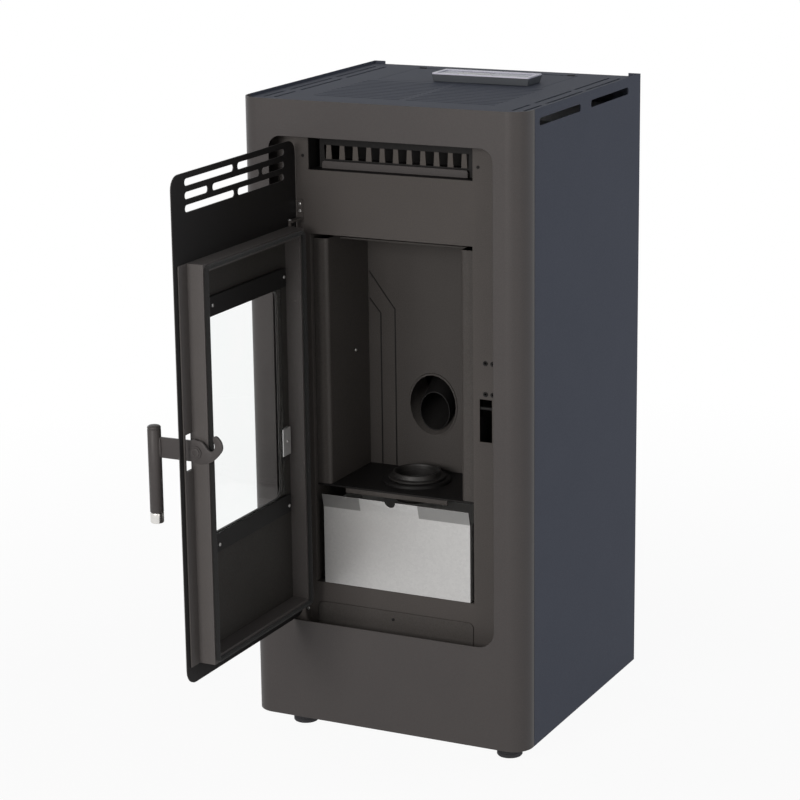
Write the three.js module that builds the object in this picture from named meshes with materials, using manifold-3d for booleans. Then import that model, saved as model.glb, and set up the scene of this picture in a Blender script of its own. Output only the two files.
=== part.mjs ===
// A pellet stove: a folded sheet-steel cabinet round a firebox with a glazed door, a pellet hopper with an
// auger and a chute, a lift-out burn pot, an ash drawer, a smoke fan, a room-air fan and their wiring parts.
// Millimetres, +Z up, the front faces -Y. The door stands open at a right angle, as in the reference pose.
import * as THREE from 'three';
import { mergeVertices } from 'three/addons/utils/BufferGeometryUtils.js';
import Module from 'manifold-3d';

const wasm = await Module();
wasm.setup();

// ---- driving dimensions ---------------------------------------------------------------------------------
// cabinet
const WIDTH = 469;                 // over the side panels
const DEPTH = 460;                 // front face to the rear edge of the side panels
const HEIGHT = 980;                // bottom edge to top edge of the side panels
const SHEET = 2;                   // folded sheet steel
const FIT = 0.3;                   // gap between two pieces that touch
const CORNER_RADIUS = 32;          // upright front corners
const WRAP_DEPTH = 38;             // how far the front panel reaches round the corners
const TAB_WIDTH = 20;              // rear return of a side panel
const SIDE_FLANGE = 22;            // front return of a side panel
const TOP_RECESS = 4.5;            // the top cover lies this far below the side panels
const TOP_FLANGE = 9;
const FLOOR_LIFT = 3;              // base plate above the cabinet's bottom edge
const FLOOR_RIM = 17;

// feet
const FOOT_HEIGHT = 34;
const FOOT_RADIUS = 20;
const FOOT_NECK_RADIUS = 11;
const FOOT_PAD_HEIGHT = 11;
const FOOT_STEM_RADIUS = 5;
const FOOT_STEM_TOP = 16;
const FOOT_X = 179;
const FOOT_FRONT_Y = 71;
const FOOT_REAR_Y = DEPTH - 70;
const NUT_RADIUS = 9;
const NUT_HEIGHT = 8;

// door opening in the front panel, and the plate behind it
const OPENING_X = 184;
const OPENING_BOTTOM = 162;
const OPENING_TOP = HEIGHT - 55.4;
const OPENING_RADIUS_TOP = 20;
const OPENING_RADIUS_BOTTOM = 28;
const PLATE_Y = 36.4;              // front face of the inner front plate
const PLATE_BOTTOM = 8;
const AIR_SLOT_X = 136;
const AIR_SLOT_BOTTOM = HEIGHT - 110;
const AIR_SLOT_TOP = HEIGHT - 46;
const LATCH_SLOT_LEFT = 146;
const LATCH_SLOT_RIGHT = 166;
const LATCH_SLOT_BOTTOM = 475;
const LATCH_SLOT_TOP = 541;
const SERVICE_X = 112;
const SERVICE_BOTTOM = 60;
const SERVICE_TOP = 150;
const GAUGE_HOLE_RADIUS = 3.5;
const GAUGE_HOLES = [[155.6, 596.8], [167.7, 596.7], [155.7, 549.2], [167.6, 549.2]];
const ACCESS_LEFT = -133;
const ACCESS_RIGHT = 134.4;
const ACCESS_BOTTOM = 40;
const ACCESS_TOP = 185.6;
const ACCESS_RADIUS = 9;

// warm-air outlet above the fire
const COMB_Y = 58.5;
const COMB_X = 128;
const TOOTH_COUNT = 11;
const TOOTH_PITCH = 22.5;
const TOOTH_TOP_WIDTH = 7.5;
const TOOTH_BOTTOM_WIDTH = 10;
const TOOTH_BOTTOM = AIR_SLOT_BOTTOM + 14;
const TOOTH_TOP = AIR_SLOT_BOTTOM + 35;
const LIP_X = 121;
const LIP_Y = 52;
const LIP_THICKNESS = 4;
const LIP_TOP = AIR_SLOT_BOTTOM + 12;
const DUCT_DEPTH = 150;
const RISER_INSET = 20;             // the hole in the duct's floor, from its sides
const RISER_LENGTH = 50;
const RISER_REAR_MARGIN = 10;

// firebox
const FIREBOX_X = 135.4;           // half of the opening and of the inside
const FIREBOX_BOTTOM = 217;
const FIREBOX_TOP = AIR_SLOT_BOTTOM - 98;
const FIREBOX_WALL = 3;
const FIREBOX_BACK_Y = DEPTH - 258;
const LINER_Y = 45;                // front flange of the liners
const LINER_X = 111;               // inner face of the side liners
const LINER_THICKNESS = 2;
const LINER_BEND = 6;
const LINER_TOP = FIREBOX_TOP - 8;
const BACK_LINER_Y = FIREBOX_BACK_Y - 21;
const BACK_LINER_THICKNESS = 3;
const ENGRAVED_DEPTH = 1;
const ENGRAVED_WIDTH = 2;
const ENGRAVED_OUTER_X = 109;
const ENGRAVED_UPPER = { outerZ: LINER_TOP - 74, innerX: 64, innerZ: LINER_TOP - 133 };
const ENGRAVED_LOWER = { outerZ: LINER_TOP - 117, innerX: 89, innerZ: LINER_TOP - 141 };
const BAFFLE_Z = FIREBOX_TOP - 28;
const BAFFLE_TILT = 8 * Math.PI / 180;
const BAFFLE_LENGTH = 96;
const DECK_TOP = 375.6;
const DECK_THICKNESS = 3;
const DECK_FLANGE_X = 87;
const DECK_FLANGE_HEIGHT = 10.5;

// burn pot, a lift-out casting
const POT_Y = BACK_LINER_Y - 60;
const POT_RADIUS = 38;
const POT_WALL = 4;
const POT_BOTTOM = 347;
const POT_TOP = 392;
const POT_FLANGE_RADIUS = 45;
const POT_HOLE_RADIUS = 3;
const POT_HOLE_COUNT = 6;
const RING_OUTER_RADIUS = 54;
const RING_HEIGHT = 5;

// pellet chute, auger and hopper
const CHUTE_ANGLE = 35 * Math.PI / 180;
const CHUTE_Z = 482.5;             // axis of the sleeve at the back liner
const SLEEVE_RADIUS = 42;
const SLEEVE_WALL = 2.5;
const SLEEVE_END_Y = FIREBOX_BACK_Y + 34;
const CHUTE_RADIUS = 26;
const CHUTE_WALL = 1.5;
const CHUTE_END_Y = BACK_LINER_Y + 6;
const AUGER_Z = 590;
const AUGER_TUBE_RADIUS = 26;
const AUGER_TUBE_WALL = 2;
const AUGER_FRONT_Y = FIREBOX_BACK_Y + 60;
const AUGER_REAR_Y = DEPTH - 68;
const AUGER_OUTLET = [AUGER_FRONT_Y + 14, AUGER_FRONT_Y + 60];
const AUGER_INLET = [AUGER_REAR_Y - 58, AUGER_REAR_Y - 8];
const AUGER_SHAFT_RADIUS = 7;
const AUGER_FLIGHT_RADIUS = 21;
const AUGER_PITCH = 40;
const GEARBOX_DEPTH = 28;
const GEARBOX_HALF = 36;
const GEARMOTOR_RADIUS = 27;
const GEARMOTOR_LENGTH = 30;
const HOPPER_X = 200;
const HOPPER_FRONT_Y = FIREBOX_BACK_Y + 20;
const HOPPER_REAR_Y = DEPTH - 20;
const HOPPER_SHOULDER = HEIGHT - 45;
const HOPPER_WAIST = (HOPPER_SHOULDER + AUGER_Z) / 2 - 42.5;
const HOPPER_OUTLET_X = 20;
const HOPPER_WALL = 1.5;

// lid, its hinges and the control panel on it
const LID_X = 139.6;
const LID_REAR_Y = DEPTH - 35.1;
const LID_FRONT_Y = LID_REAR_Y - 140.9;
const LID_CLEARANCE = 0.6;
const LID_RIM = 10;
const LID_FINGER_LEFT = -31;
const LID_FINGER_RIGHT = 34;
const LID_FINGER_DEPTH = 5;
const LID_HINGE_RADIUS = 2;
const LID_HINGE_X = 130;
const LID_HINGE_LENGTH = 12;
const LID_HINGE_LEAF = 13;
const PANEL_LEFT = -48;
const PANEL_RIGHT = 118;
const PANEL_FRONT_Y = LID_FRONT_Y + 2;
const PANEL_LENGTH = 53;            // front to rear
const PANEL_REAR_Y = PANEL_FRONT_Y + PANEL_LENGTH;
const PANEL_HEIGHT = 11;
const BEZEL_THICKNESS = 2.4;
const BEZEL_BORDER = 7;
const GLASS_RECESS = 0.5;

// slots in the top cover and the side panels
const LOUVRE_INNER_X = 5;
const LOUVRE_OUTER_X = 150;
const LOUVRE_FRONT_Y = 84;
const LOUVRE_COUNT = 13;
const LOUVRE_PITCH = (LID_FRONT_Y - 22.4 - LOUVRE_FRONT_Y) / (LOUVRE_COUNT - 1);
const LOUVRE_WIDTH = 4;
const TOP_SLOT_XS = [196, 214];
const TOP_SLOT_RUNS = [[45, 110], [128, 268], [282, DEPTH - 36]];
const TOP_SLOT_WIDTH = 4;
const SIDE_SLOT_BOTTOM = HEIGHT - 26;
const SIDE_SLOT_TOP = HEIGHT - 15;
const SIDE_SLOT_RUNS = [[56, DEPTH / 2 - 18], [DEPTH / 2 + 24, DEPTH - 52]];
const SIDE_SLOT_RADIUS = 4;

// door: the closed place is drawn first, and the pivot then swings it open
const PIVOT_X = -153;
const PIVOT_Y = 5;
const DOOR_OPEN = -Math.PI / 2;
const LEAF_LEFT = -179.5;
const LEAF_RIGHT = 182;
const LEAF_BOTTOM = 164;
const LEAF_TOP = OPENING_TOP - 9.3;
const LEAF_RADIUS_TOP = 20;
const LEAF_RADIUS_BOTTOM = 23;
const WINDOW_LEFT = -107;
const WINDOW_RIGHT = 109;
const WINDOW_BOTTOM = 375;
const WINDOW_TOP = FIREBOX_TOP - 72;
const WINDOW_RADIUS = 15;
const VENT_HEIGHT = 10.5;
const VENT_RADIUS = 5;
const VENT_ROWS = [                // each row's lower edge, from the top of the leaf
  { below: 19.3, runs: [[-146, -5], [6, 145.5]] },
  { below: 38.3, runs: [[-145, -77], [-68.7, 68], [80.3, 145.7]] },
  { below: 56.8, runs: [[-144, -4], [5, 146]] },
];
const FRAME_X = 150;
const FRAME_BOTTOM = 191;
const FRAME_TOP = FIREBOX_TOP + 15;
const FRAME_BAND = 12;             // width of the gasket channel
const FRAME_DEPTH = 30;            // from the leaf's outer face
const FRAME_FLANGE = 173;          // the free-side flange reaches to this x
const HINGE_TAB = 3;
const GASKET_WIDTH = 9;
const GLASS_MARGIN = 8;
const GLASS_THICKNESS = 4;
const CLAMP_HEIGHT = 29;
const CLAMP_LAP = 8;
const CLAMP_LEFT = -127;
const CLAMP_RIGHT = 101;
const CLIP_BOTTOM = 438;
const CLIP_TOP = CLIP_BOTTOM + 43;
const CLIP_WIDTH = 23;

// hinges
const PIN_RADIUS = 2;
const PIN_CLEARANCE = 0.35;
const BRACKET_WIDTH = 9.6;
const BRACKET_THICKNESS = 3;
const BRACKET_LEAF = 30;
const BRACKET_CHAMFER = 1.5;       // keeps the arm clear of the turning leaf

// latch lever, drawn in the closed door's (y, z) plane
const LEVER_X = 154;
const LEVER_THICKNESS = 4;
const LEVER_PIVOT_Y = 13.3;
const LEVER_PIVOT_Z = 513.9;
const LEVER_TOP = 530;
const LEVER_BOTTOM = 499.5;
const ARM_SLOT_LEFT = LEVER_X - 5;
const ARM_SLOT_RIGHT = LEVER_X + 15;
const ARM_SLOT_BOTTOM = LEVER_BOTTOM - 13.5;
const ARM_SLOT_TOP = LEVER_TOP + 11;
const HOOK_Y = 41.2;
const HOOK_Z = 526.3;
const HOOK_RADIUS = 4;
const BOLT_RADIUS = 4;
const BOLT_HEAD_RADIUS = 9.5;
const BOLT_HEAD = 4;
const HANDLE_Y = -56.2;
const HANDLE_RADIUS = 10;
const HANDLE_TOP = 547;
const HANDLE_BOTTOM = 397;
const HANDLE_CAP = 17;
const STRIKER_RADIUS = 2.5;
const STRIKER_EAR = 2.5;
const STRIKER_EAR_LEFT = 141.5;
const STRIKER_EAR_RIGHT = 170.5;
const STRIKER_EAR_DEPTH = 14;
const STRIKER_EAR_HEIGHT = 30;

// ash drawer
const DRAWER_LEFT = -121.4;         // clear of the open door's seal
const DRAWER_RIGHT = 129;
const DRAWER_TOP = 341;
const DRAWER_LIP_TOP = 363;
const DRAWER_LIP_LEAN = 6;
const DRAWER_DEPTH = FIREBOX_BACK_Y - 70;
const DRAWER_WALL = 1.5;
const NOTCH_X = -4;
const NOTCH_RADIUS = 9;

// smoke side: fan, flue, combustion air, igniter
const SMOKE_BOX_X = 60;
const SMOKE_BOX_BOTTOM = 226;
const SMOKE_BOX_TOP = 326;
const SMOKE_BOX_DEPTH = 22;
const SMOKE_FAN_Z = 258;
const SMOKE_FAN_RADIUS = 74;
const SMOKE_FAN_DEPTH = 46;
const SMOKE_IMPELLER_RADIUS = 58;
const SMOKE_BLADE_COUNT = 8;
const SMOKE_MOTOR_RADIUS = 38;
const SMOKE_MOTOR_LENGTH = 55;
const FLUE_X = -118;
const FLUE_Z = 232;
const FLUE_RADIUS = 40;
const FLUE_WALL = 2;
const FLUE_REACH = 45;             // past the cabinet's rear edge
const INTAKE_X = 108;
const INTAKE_Z = 258;
const INTAKE_RADIUS = 25;
const INTAKE_REACH = 22;
const IGNITER_Z = 360;
const IGNITER_RADIUS = 6;
const IGNITER_FRONT_Y = BACK_LINER_Y - 15;
const IGNITER_LENGTH = 68;

// room-air fan and electrics
const ROOM_FAN_X = 120;
const ROOM_FAN_Y = 330;
const ROOM_FAN_Z = 74;
const ROOM_FAN_RADIUS = 46;
const ROOM_WHEEL_RADIUS = 34;
const ROOM_BLADE_COUNT = 12;
const ROOM_MOTOR_RADIUS = 28;
const ROOM_MOTOR_LENGTH = 42;
const GRILLE_X = 110;
const GRILLE_COUNT = 6;
const GRILLE_PITCH = 14;
const GRILLE_BOTTOM = 36;
const GRILLE_SLOT = 7;
const BOARD_Y = 230;
const BOARD_LENGTH = 150;
const BOARD_BOTTOM = 330;
const BOARD_HEIGHT = 110;
const BOARD_STANDOFF = 20;
const BOARD_POST_INSET = 10;
const BOARD_POST_RADIUS = 4;
const TRANSFORMER_INSET = 20;
const TRANSFORMER_SIZE = 40;
const TRANSFORMER_HEIGHT = 24;
const RELAY_INSET_Y = 80;
const RELAY_INSET_Z = 70;
const RELAY_LENGTH = 50;
const RELAY_WIDTH = 30;
const RELAY_HEIGHT = 14;
const INLET_X = 168;
const INLET_Z = 92;
const INLET_WIDTH = 48;
const INLET_HEIGHT = 28;
const SWITCH_X = 168;
const SWITCH_Z = 132;
const SWITCH_WIDTH = 28;
const SWITCH_HEIGHT = 21;
const ROCKER_TILT = 8 * Math.PI / 180;

// ---- finishes -------------------------------------------------------------------------------------------
function finish(color, roughness, metalness) {
  return new THREE.MeshStandardMaterial({ color, roughness, metalness });
}

const warmCoat = finish(0x4b4745, 0.55, 0.3);
const blueCoat = finish(0x454a55, 0.55, 0.3);
const fireSteel = finish(0x3f3b39, 0.6, 0.4);
const blackSteel = finish(0x1a1919, 0.6, 0.4);
const castIron = finish(0x2a2827, 0.7, 0.5);
const galvanised = finish(0xa5a5a1, 0.4, 0.9);
const brightSteel = finish(0xd0cfcd, 0.2, 1.0);
const rawSteel = finish(0x77777a, 0.45, 0.9);
const ropeSeal = finish(0x151515, 1.0, 0.0);
const ceramicGlass = finish(0xdfe8e6, 0.05, 0.0);
const blackPlastic = finish(0x1c1c1e, 0.5, 0.0);
const paleBezel = finish(0xc9c9d6, 0.4, 0.2);
const boardGreen = finish(0x2f5a3a, 0.6, 0.0);
const rubber = finish(0x202020, 0.9, 0.0);

// ---- solids ---------------------------------------------------------------------------------------------
function toSolid(geometry) {
  const bare = geometry.clone();
  bare.deleteAttribute('normal');
  bare.deleteAttribute('uv');
  const merged = mergeVertices(bare, 1e-4);
  return new wasm.Manifold(new wasm.Mesh({
    numProp: 3,
    vertProperties: new Float32Array(merged.attributes.position.array),
    triVerts: new Uint32Array(merged.index.array),
  }));
}

function toGeometry(solid) {
  const mesh = solid.getMesh();
  const geometry = new THREE.BufferGeometry();
  geometry.setAttribute('position', new THREE.BufferAttribute(new Float32Array(mesh.vertProperties), 3));
  geometry.setIndex(new THREE.BufferAttribute(new Uint32Array(mesh.triVerts), 1));
  return geometry;
}

function join(...geometries) {
  return toGeometry(geometries.map(toSolid).reduce((sum, next) => sum.add(next)));
}

function cut(body, ...tools) {
  return toGeometry(tools.map(toSolid).reduce((rest, tool) => rest.subtract(tool), toSolid(body)));
}

function block(x0, x1, y0, y1, z0, z1) {
  const box = new THREE.BoxGeometry(x1 - x0, y1 - y0, z1 - z0);
  return box.translate((x0 + x1) / 2, (y0 + y1) / 2, (z0 + z1) / 2);
}

// a rounded rectangle as a closed path, counter-clockwise, with its own radius at the bottom and at the top
function roundedRect(path, x0, x1, y0, y1, radiusBottom, radiusTop) {
  path.moveTo(x0 + radiusBottom, y0);
  path.lineTo(x1 - radiusBottom, y0);
  path.absarc(x1 - radiusBottom, y0 + radiusBottom, radiusBottom, -Math.PI / 2, 0);
  path.absarc(x1 - radiusTop, y1 - radiusTop, radiusTop, 0, Math.PI / 2);
  path.absarc(x0 + radiusTop, y1 - radiusTop, radiusTop, Math.PI / 2, Math.PI);
  path.absarc(x0 + radiusBottom, y0 + radiusBottom, radiusBottom, Math.PI, 1.5 * Math.PI);
  return path;
}

function rect(path, x0, x1, y0, y1) {
  path.moveTo(x0, y0);
  path.lineTo(x1, y0);
  path.lineTo(x1, y1);
  path.lineTo(x0, y1);
  path.lineTo(x0, y0);
  return path;
}

function polygon(points) {
  const shape = new THREE.Shape();
  points.forEach(([a, b], i) => (i === 0 ? shape.moveTo(a, b) : shape.lineTo(a, b)));
  shape.closePath();
  return shape;
}

// the outline's thickness is raised first, and each hole is then cut right through it
function extrude(shape, depth, curveSegments = 3) {
  const raise = (outline, height) => new THREE.ExtrudeGeometry(outline, {
    depth: height, bevelEnabled: false, curveSegments,
  });
  const body = raise(new THREE.Shape(shape.getPoints(curveSegments)), depth);
  if (shape.holes.length === 0) {
    return body;
  }
  const cutters = shape.holes.map((hole) => raise(new THREE.Shape(hole.getPoints(curveSegments)), 3 * depth)
    .translate(0, 0, -depth));
  return cut(body, ...cutters);
}

// a shape drawn in (x, z) becomes an upright plate from y to y + thickness
function frontPlate(shape, y, thickness, curveSegments = 3) {
  return extrude(shape, thickness, curveSegments).rotateX(Math.PI / 2).translate(0, y + thickness, 0);
}

// a shape drawn in (y, z) becomes an upright plate from x to x + thickness
function sidePlate(shape, x, thickness, curveSegments = 3) {
  const turn = new THREE.Matrix4().makeBasis(
    new THREE.Vector3(0, 1, 0), new THREE.Vector3(0, 0, 1), new THREE.Vector3(1, 0, 0));
  return extrude(shape, thickness, curveSegments).applyMatrix4(turn).translate(x, 0, 0);
}

// a shape drawn in (x, y) becomes a lying plate from z to z + thickness
function topPlate(shape, z, thickness, curveSegments = 3) {
  return extrude(shape, thickness, curveSegments).translate(0, 0, z);
}

function rodX(x0, x1, y, z, radius, sides = 16) {
  return new THREE.CylinderGeometry(radius, radius, x1 - x0, sides).rotateZ(Math.PI / 2)
    .translate((x0 + x1) / 2, y, z);
}

function rodY(x, y0, y1, z, radius, sides = 16) {
  return new THREE.CylinderGeometry(radius, radius, y1 - y0, sides).translate(x, (y0 + y1) / 2, z);
}

function rodZ(x, y, z0, z1, radius, sides = 16) {
  return new THREE.CylinderGeometry(radius, radius, z1 - z0, sides).rotateX(Math.PI / 2)
    .translate(x, y, (z0 + z1) / 2);
}

// a closed profile of (radius, height) turned about an upright axis
function turned(profile, x, y, z, sides = 24) {
  const points = profile.map(([radius, height]) => new THREE.Vector2(radius, height));
  return new THREE.LatheGeometry(points, sides).rotateX(Math.PI / 2).translate(x, y, z);
}

// a block whose bottom and top are rectangles of their own, each [x0, x1, y0, y1]
function funnel(bottom, top, z0, z1) {
  const corners = [bottom, top].flatMap(([x0, x1, y0, y1], level) => {
    const z = level === 0 ? z0 : z1;
    return [[x0, y0, z], [x1, y0, z], [x1, y1, z], [x0, y1, z]];
  });
  const faces = [[0, 2, 1], [0, 3, 2], [4, 5, 6], [4, 6, 7]];
  for (let i = 0; i < 4; i += 1) {
    const next = (i + 1) % 4;
    faces.push([i, next, next + 4]);
    faces.push([i, next + 4, i + 4]);
  }
  const geometry = new THREE.BufferGeometry();
  geometry.setAttribute('position', new THREE.Float32BufferAttribute(corners.flat(), 3));
  geometry.setIndex(faces.flat());
  return geometry;
}

function addMesh(group, name, geometry, material) {
  const mesh = new THREE.Mesh(geometry, material);
  mesh.name = name;
  group.add(mesh);
  return mesh;
}

// ---- values that follow from the driving dimensions -----------------------------------------------------
const SIDE = WIDTH / 2;
const INNER = SIDE - SHEET - FIT;                        // what fits between the side panels
const PLATE_BACK = PLATE_Y + SHEET;
const TOP_Z = HEIGHT - TOP_RECESS;                       // upper face of the top cover
const BACK_PANEL_Y = DEPTH - SHEET - FIT - SHEET;
const FLOOR_TOP = FLOOR_LIFT + SHEET;
const CHUTE_SLOPE = Math.tan(CHUTE_ANGLE);
const SLEEVE_INNER = SLEEVE_RADIUS - SLEEVE_WALL;
const CHUTE_DROP = (SLEEVE_INNER - CHUTE_RADIUS - FIT) / Math.cos(CHUTE_ANGLE);
const FRAME_Y = SHEET + FIT;
const DOOR_REACH = LEAF_RIGHT - PIVOT_X - PIVOT_Y;       // how far the open leaf stands in front
const REAR_REACH = DEPTH + FLUE_REACH;
const HINGE_AXIS_Z = TOP_Z - FIT;
const HINGE_AXIS_Y = LID_REAR_Y + FIT + LID_HINGE_RADIUS;

const stove = new THREE.Group();
stove.position.set(0, (DOOR_REACH - REAR_REACH) / 2, FOOT_HEIGHT);

// ---- cabinet shell --------------------------------------------------------------------------------------
function buildFrontPanel() {
  const section = new THREE.Shape();
  const r = CORNER_RADIUS;
  const inner = r - SHEET;
  section.moveTo(-SIDE, WRAP_DEPTH);
  section.lineTo(-SIDE, r);
  section.absarc(-SIDE + r, r, r, Math.PI, 1.5 * Math.PI);
  section.absarc(SIDE - r, r, r, -Math.PI / 2, 0);
  section.lineTo(SIDE, WRAP_DEPTH);
  section.lineTo(SIDE - SHEET, WRAP_DEPTH);
  section.absarc(SIDE - r, r, inner, 0, -Math.PI / 2, true);
  section.absarc(-SIDE + r, r, inner, 1.5 * Math.PI, Math.PI, true);
  section.lineTo(-SIDE + SHEET, WRAP_DEPTH);
  section.closePath();
  const opening = roundedRect(new THREE.Shape(), -OPENING_X, OPENING_X, OPENING_BOTTOM, OPENING_TOP,
    OPENING_RADIUS_BOTTOM, OPENING_RADIUS_TOP);
  return cut(topPlate(section, 0, HEIGHT, 5), frontPlate(opening, -SHEET, 3 * SHEET, 4));
}

function buildSidePanel(side) {
  const front = PLATE_BACK + FIT;
  const points = [
    [SIDE, front], [SIDE, DEPTH], [SIDE - TAB_WIDTH, DEPTH], [SIDE - TAB_WIDTH, DEPTH - SHEET],
    [SIDE - SHEET, DEPTH - SHEET], [SIDE - SHEET, front + SHEET],
    [SIDE - SIDE_FLANGE, front + SHEET], [SIDE - SIDE_FLANGE, front],
  ].map(([x, y]) => [side * x, y]);
  const wall = topPlate(polygon(points), 0, HEIGHT);
  const slots = SIDE_SLOT_RUNS.map(([y0, y1]) => {
    const slot = roundedRect(new THREE.Shape(), y0, y1, SIDE_SLOT_BOTTOM, SIDE_SLOT_TOP,
      SIDE_SLOT_RADIUS, SIDE_SLOT_RADIUS);
    return sidePlate(slot, side * (SIDE - SHEET / 2) - SHEET, 2 * SHEET, 3);
  });
  const edges = [side * (SIDE - SHEET), side * (SIDE - 2 * SIDE_FLANGE)].sort((a, b) => a - b);
  const coverRoom = block(...edges, front - 1, front + SHEET + 1, TOP_Z - TOP_FLANGE - FIT, 2 * HEIGHT);
  return cut(wall, coverRoom, ...slots);
}

function buildTopCover() {
  const radius = CORNER_RADIUS - SHEET - FIT;
  const front = SHEET + FIT;
  const outline = new THREE.Shape();
  outline.moveTo(-INNER, DEPTH - SHEET - FIT);
  outline.lineTo(-INNER, front + radius);
  outline.absarc(-INNER + radius, front + radius, radius, Math.PI, 1.5 * Math.PI);
  outline.absarc(INNER - radius, front + radius, radius, -Math.PI / 2, 0);
  outline.lineTo(INNER, DEPTH - SHEET - FIT);
  outline.closePath();
  const hole = (x0, x1, y0, y1) => outline.holes.push(rect(new THREE.Path(), x0, x1, y0, y1));
  for (let i = 0; i < LOUVRE_COUNT; i += 1) {
    const y = LOUVRE_FRONT_Y + i * LOUVRE_PITCH;
    hole(-LOUVRE_OUTER_X, -LOUVRE_INNER_X, y, y + LOUVRE_WIDTH);
    hole(LOUVRE_INNER_X, LOUVRE_OUTER_X, y, y + LOUVRE_WIDTH);
  }
  for (const side of [-1, 1]) {
    for (const x of TOP_SLOT_XS) {
      const left = side * x - TOP_SLOT_WIDTH / 2;
      TOP_SLOT_RUNS.forEach(([y0, y1]) => hole(left, left + TOP_SLOT_WIDTH, y0, y1));
    }
  }
  hole(-LID_X - LID_CLEARANCE, LID_X + LID_CLEARANCE, LID_FRONT_Y - LID_CLEARANCE,
    HINGE_AXIS_Y + LID_HINGE_RADIUS + FIT);
  const plate = topPlate(outline, TOP_Z - SHEET, SHEET);
  const rims = [-1, 1].map((side) => {
    const edges = [side * INNER, side * (INNER - SHEET)].sort((a, b) => a - b);
    return block(...edges, front + radius, BACK_PANEL_Y - FIT, TOP_Z - TOP_FLANGE, TOP_Z - SHEET / 2);
  });
  return join(plate, ...rims);
}

function buildBackPanel() {
  const panel = rect(new THREE.Shape(), -INNER, INNER, PLATE_BOTTOM, TOP_Z - SHEET - FIT);
  const round = (x, z, radius) => {
    const path = new THREE.Path();
    path.absarc(x, z, radius, 0, 2 * Math.PI, false);
    panel.holes.push(path);
  };
  round(FLUE_X, FLUE_Z, FLUE_RADIUS + 2 * FIT);
  round(INTAKE_X, INTAKE_Z, INTAKE_RADIUS + 2 * FIT);
  for (let i = 0; i < GRILLE_COUNT; i += 1) {
    const z = GRILLE_BOTTOM + i * GRILLE_PITCH;
    panel.holes.push(rect(new THREE.Path(), -GRILLE_X, GRILLE_X, z, z + GRILLE_SLOT));
  }
  const socket = (x, z, width, height) => panel.holes.push(rect(new THREE.Path(),
    x - width / 2 - FIT, x + width / 2 + FIT, z - height / 2 - FIT, z + height / 2 + FIT));
  socket(INLET_X, INLET_Z, INLET_WIDTH, INLET_HEIGHT);
  socket(SWITCH_X, SWITCH_Z, SWITCH_WIDTH, SWITCH_HEIGHT);
  return frontPlate(panel, BACK_PANEL_Y, SHEET, 14);
}

const FOOT_PLACES = [
  ['foot_front_left', -FOOT_X, FOOT_FRONT_Y], ['foot_front_right', FOOT_X, FOOT_FRONT_Y],
  ['foot_rear_left', -FOOT_X, FOOT_REAR_Y], ['foot_rear_right', FOOT_X, FOOT_REAR_Y],
];

function buildBasePlate() {
  const front = PLATE_BACK + FIT + SHEET + FIT;
  const rear = BACK_PANEL_Y - FIT;
  const tray = cut(block(-INNER, INNER, front, rear, FLOOR_LIFT, FLOOR_TOP + FLOOR_RIM),
    block(-INNER + SHEET, INNER - SHEET, front + SHEET, rear - SHEET, FLOOR_TOP, HEIGHT));
  const nuts = FOOT_PLACES.map(([, x, y]) => rodZ(x, y, FLOOR_TOP - SHEET / 2, FLOOR_TOP + NUT_HEIGHT,
    NUT_RADIUS, 6));
  const bores = FOOT_PLACES.map(([, x, y]) => rodZ(x, y, 0, HEIGHT / 2, FOOT_STEM_RADIUS + FIT));
  return cut(join(tray, ...nuts), ...bores);
}

function buildFoot(x, y) {
  const shoulder = FOOT_HEIGHT + FLOOR_LIFT - FIT;
  return turned([
    [0, 0], [FOOT_RADIUS - 2, 0], [FOOT_RADIUS, 2], [FOOT_RADIUS, FOOT_PAD_HEIGHT],
    [FOOT_NECK_RADIUS, FOOT_PAD_HEIGHT + 4], [FOOT_NECK_RADIUS, shoulder], [FOOT_STEM_RADIUS, shoulder],
    [FOOT_STEM_RADIUS, FOOT_HEIGHT + FOOT_STEM_TOP], [0, FOOT_HEIGHT + FOOT_STEM_TOP],
  ], x, y, -FOOT_HEIGHT, 16);
}

addMesh(stove, 'front_panel', buildFrontPanel(), warmCoat);
addMesh(stove, 'side_panel_left', buildSidePanel(-1), blueCoat);
addMesh(stove, 'side_panel_right', buildSidePanel(1), blueCoat);
addMesh(stove, 'top_cover', buildTopCover(), blueCoat);
addMesh(stove, 'back_panel', buildBackPanel(), blueCoat);
addMesh(stove, 'base_plate', buildBasePlate(), galvanised);
FOOT_PLACES.forEach(([name, x, y]) => addMesh(stove, name, buildFoot(x, y), rubber));

// ---- plate behind the door opening, and what is screwed to it -------------------------------------------
function buildInnerFrontPlate() {
  const plate = rect(new THREE.Shape(), -INNER, INNER, PLATE_BOTTOM, TOP_Z - TOP_FLANGE - FIT);
  const hole = (x0, x1, z0, z1) => plate.holes.push(rect(new THREE.Path(), x0, x1, z0, z1));
  hole(-FIREBOX_X, FIREBOX_X, FIREBOX_BOTTOM, FIREBOX_TOP);
  hole(-AIR_SLOT_X, AIR_SLOT_X, AIR_SLOT_BOTTOM, AIR_SLOT_TOP);
  hole(LATCH_SLOT_LEFT, LATCH_SLOT_RIGHT, LATCH_SLOT_BOTTOM, LATCH_SLOT_TOP);
  hole(-SERVICE_X, SERVICE_X, SERVICE_BOTTOM, SERVICE_TOP);
  for (const [x, z] of GAUGE_HOLES) {
    const round = new THREE.Path();
    round.absarc(x, z, GAUGE_HOLE_RADIUS, 0, 2 * Math.PI, false);
    plate.holes.push(round);
  }
  return frontPlate(plate, PLATE_Y, SHEET, 4);
}

function buildAccessPanel() {
  const panel = roundedRect(new THREE.Shape(), ACCESS_LEFT, ACCESS_RIGHT, ACCESS_BOTTOM, ACCESS_TOP,
    ACCESS_RADIUS, ACCESS_RADIUS);
  return frontPlate(panel, PLATE_Y - FIT - SHEET, SHEET);
}

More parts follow.
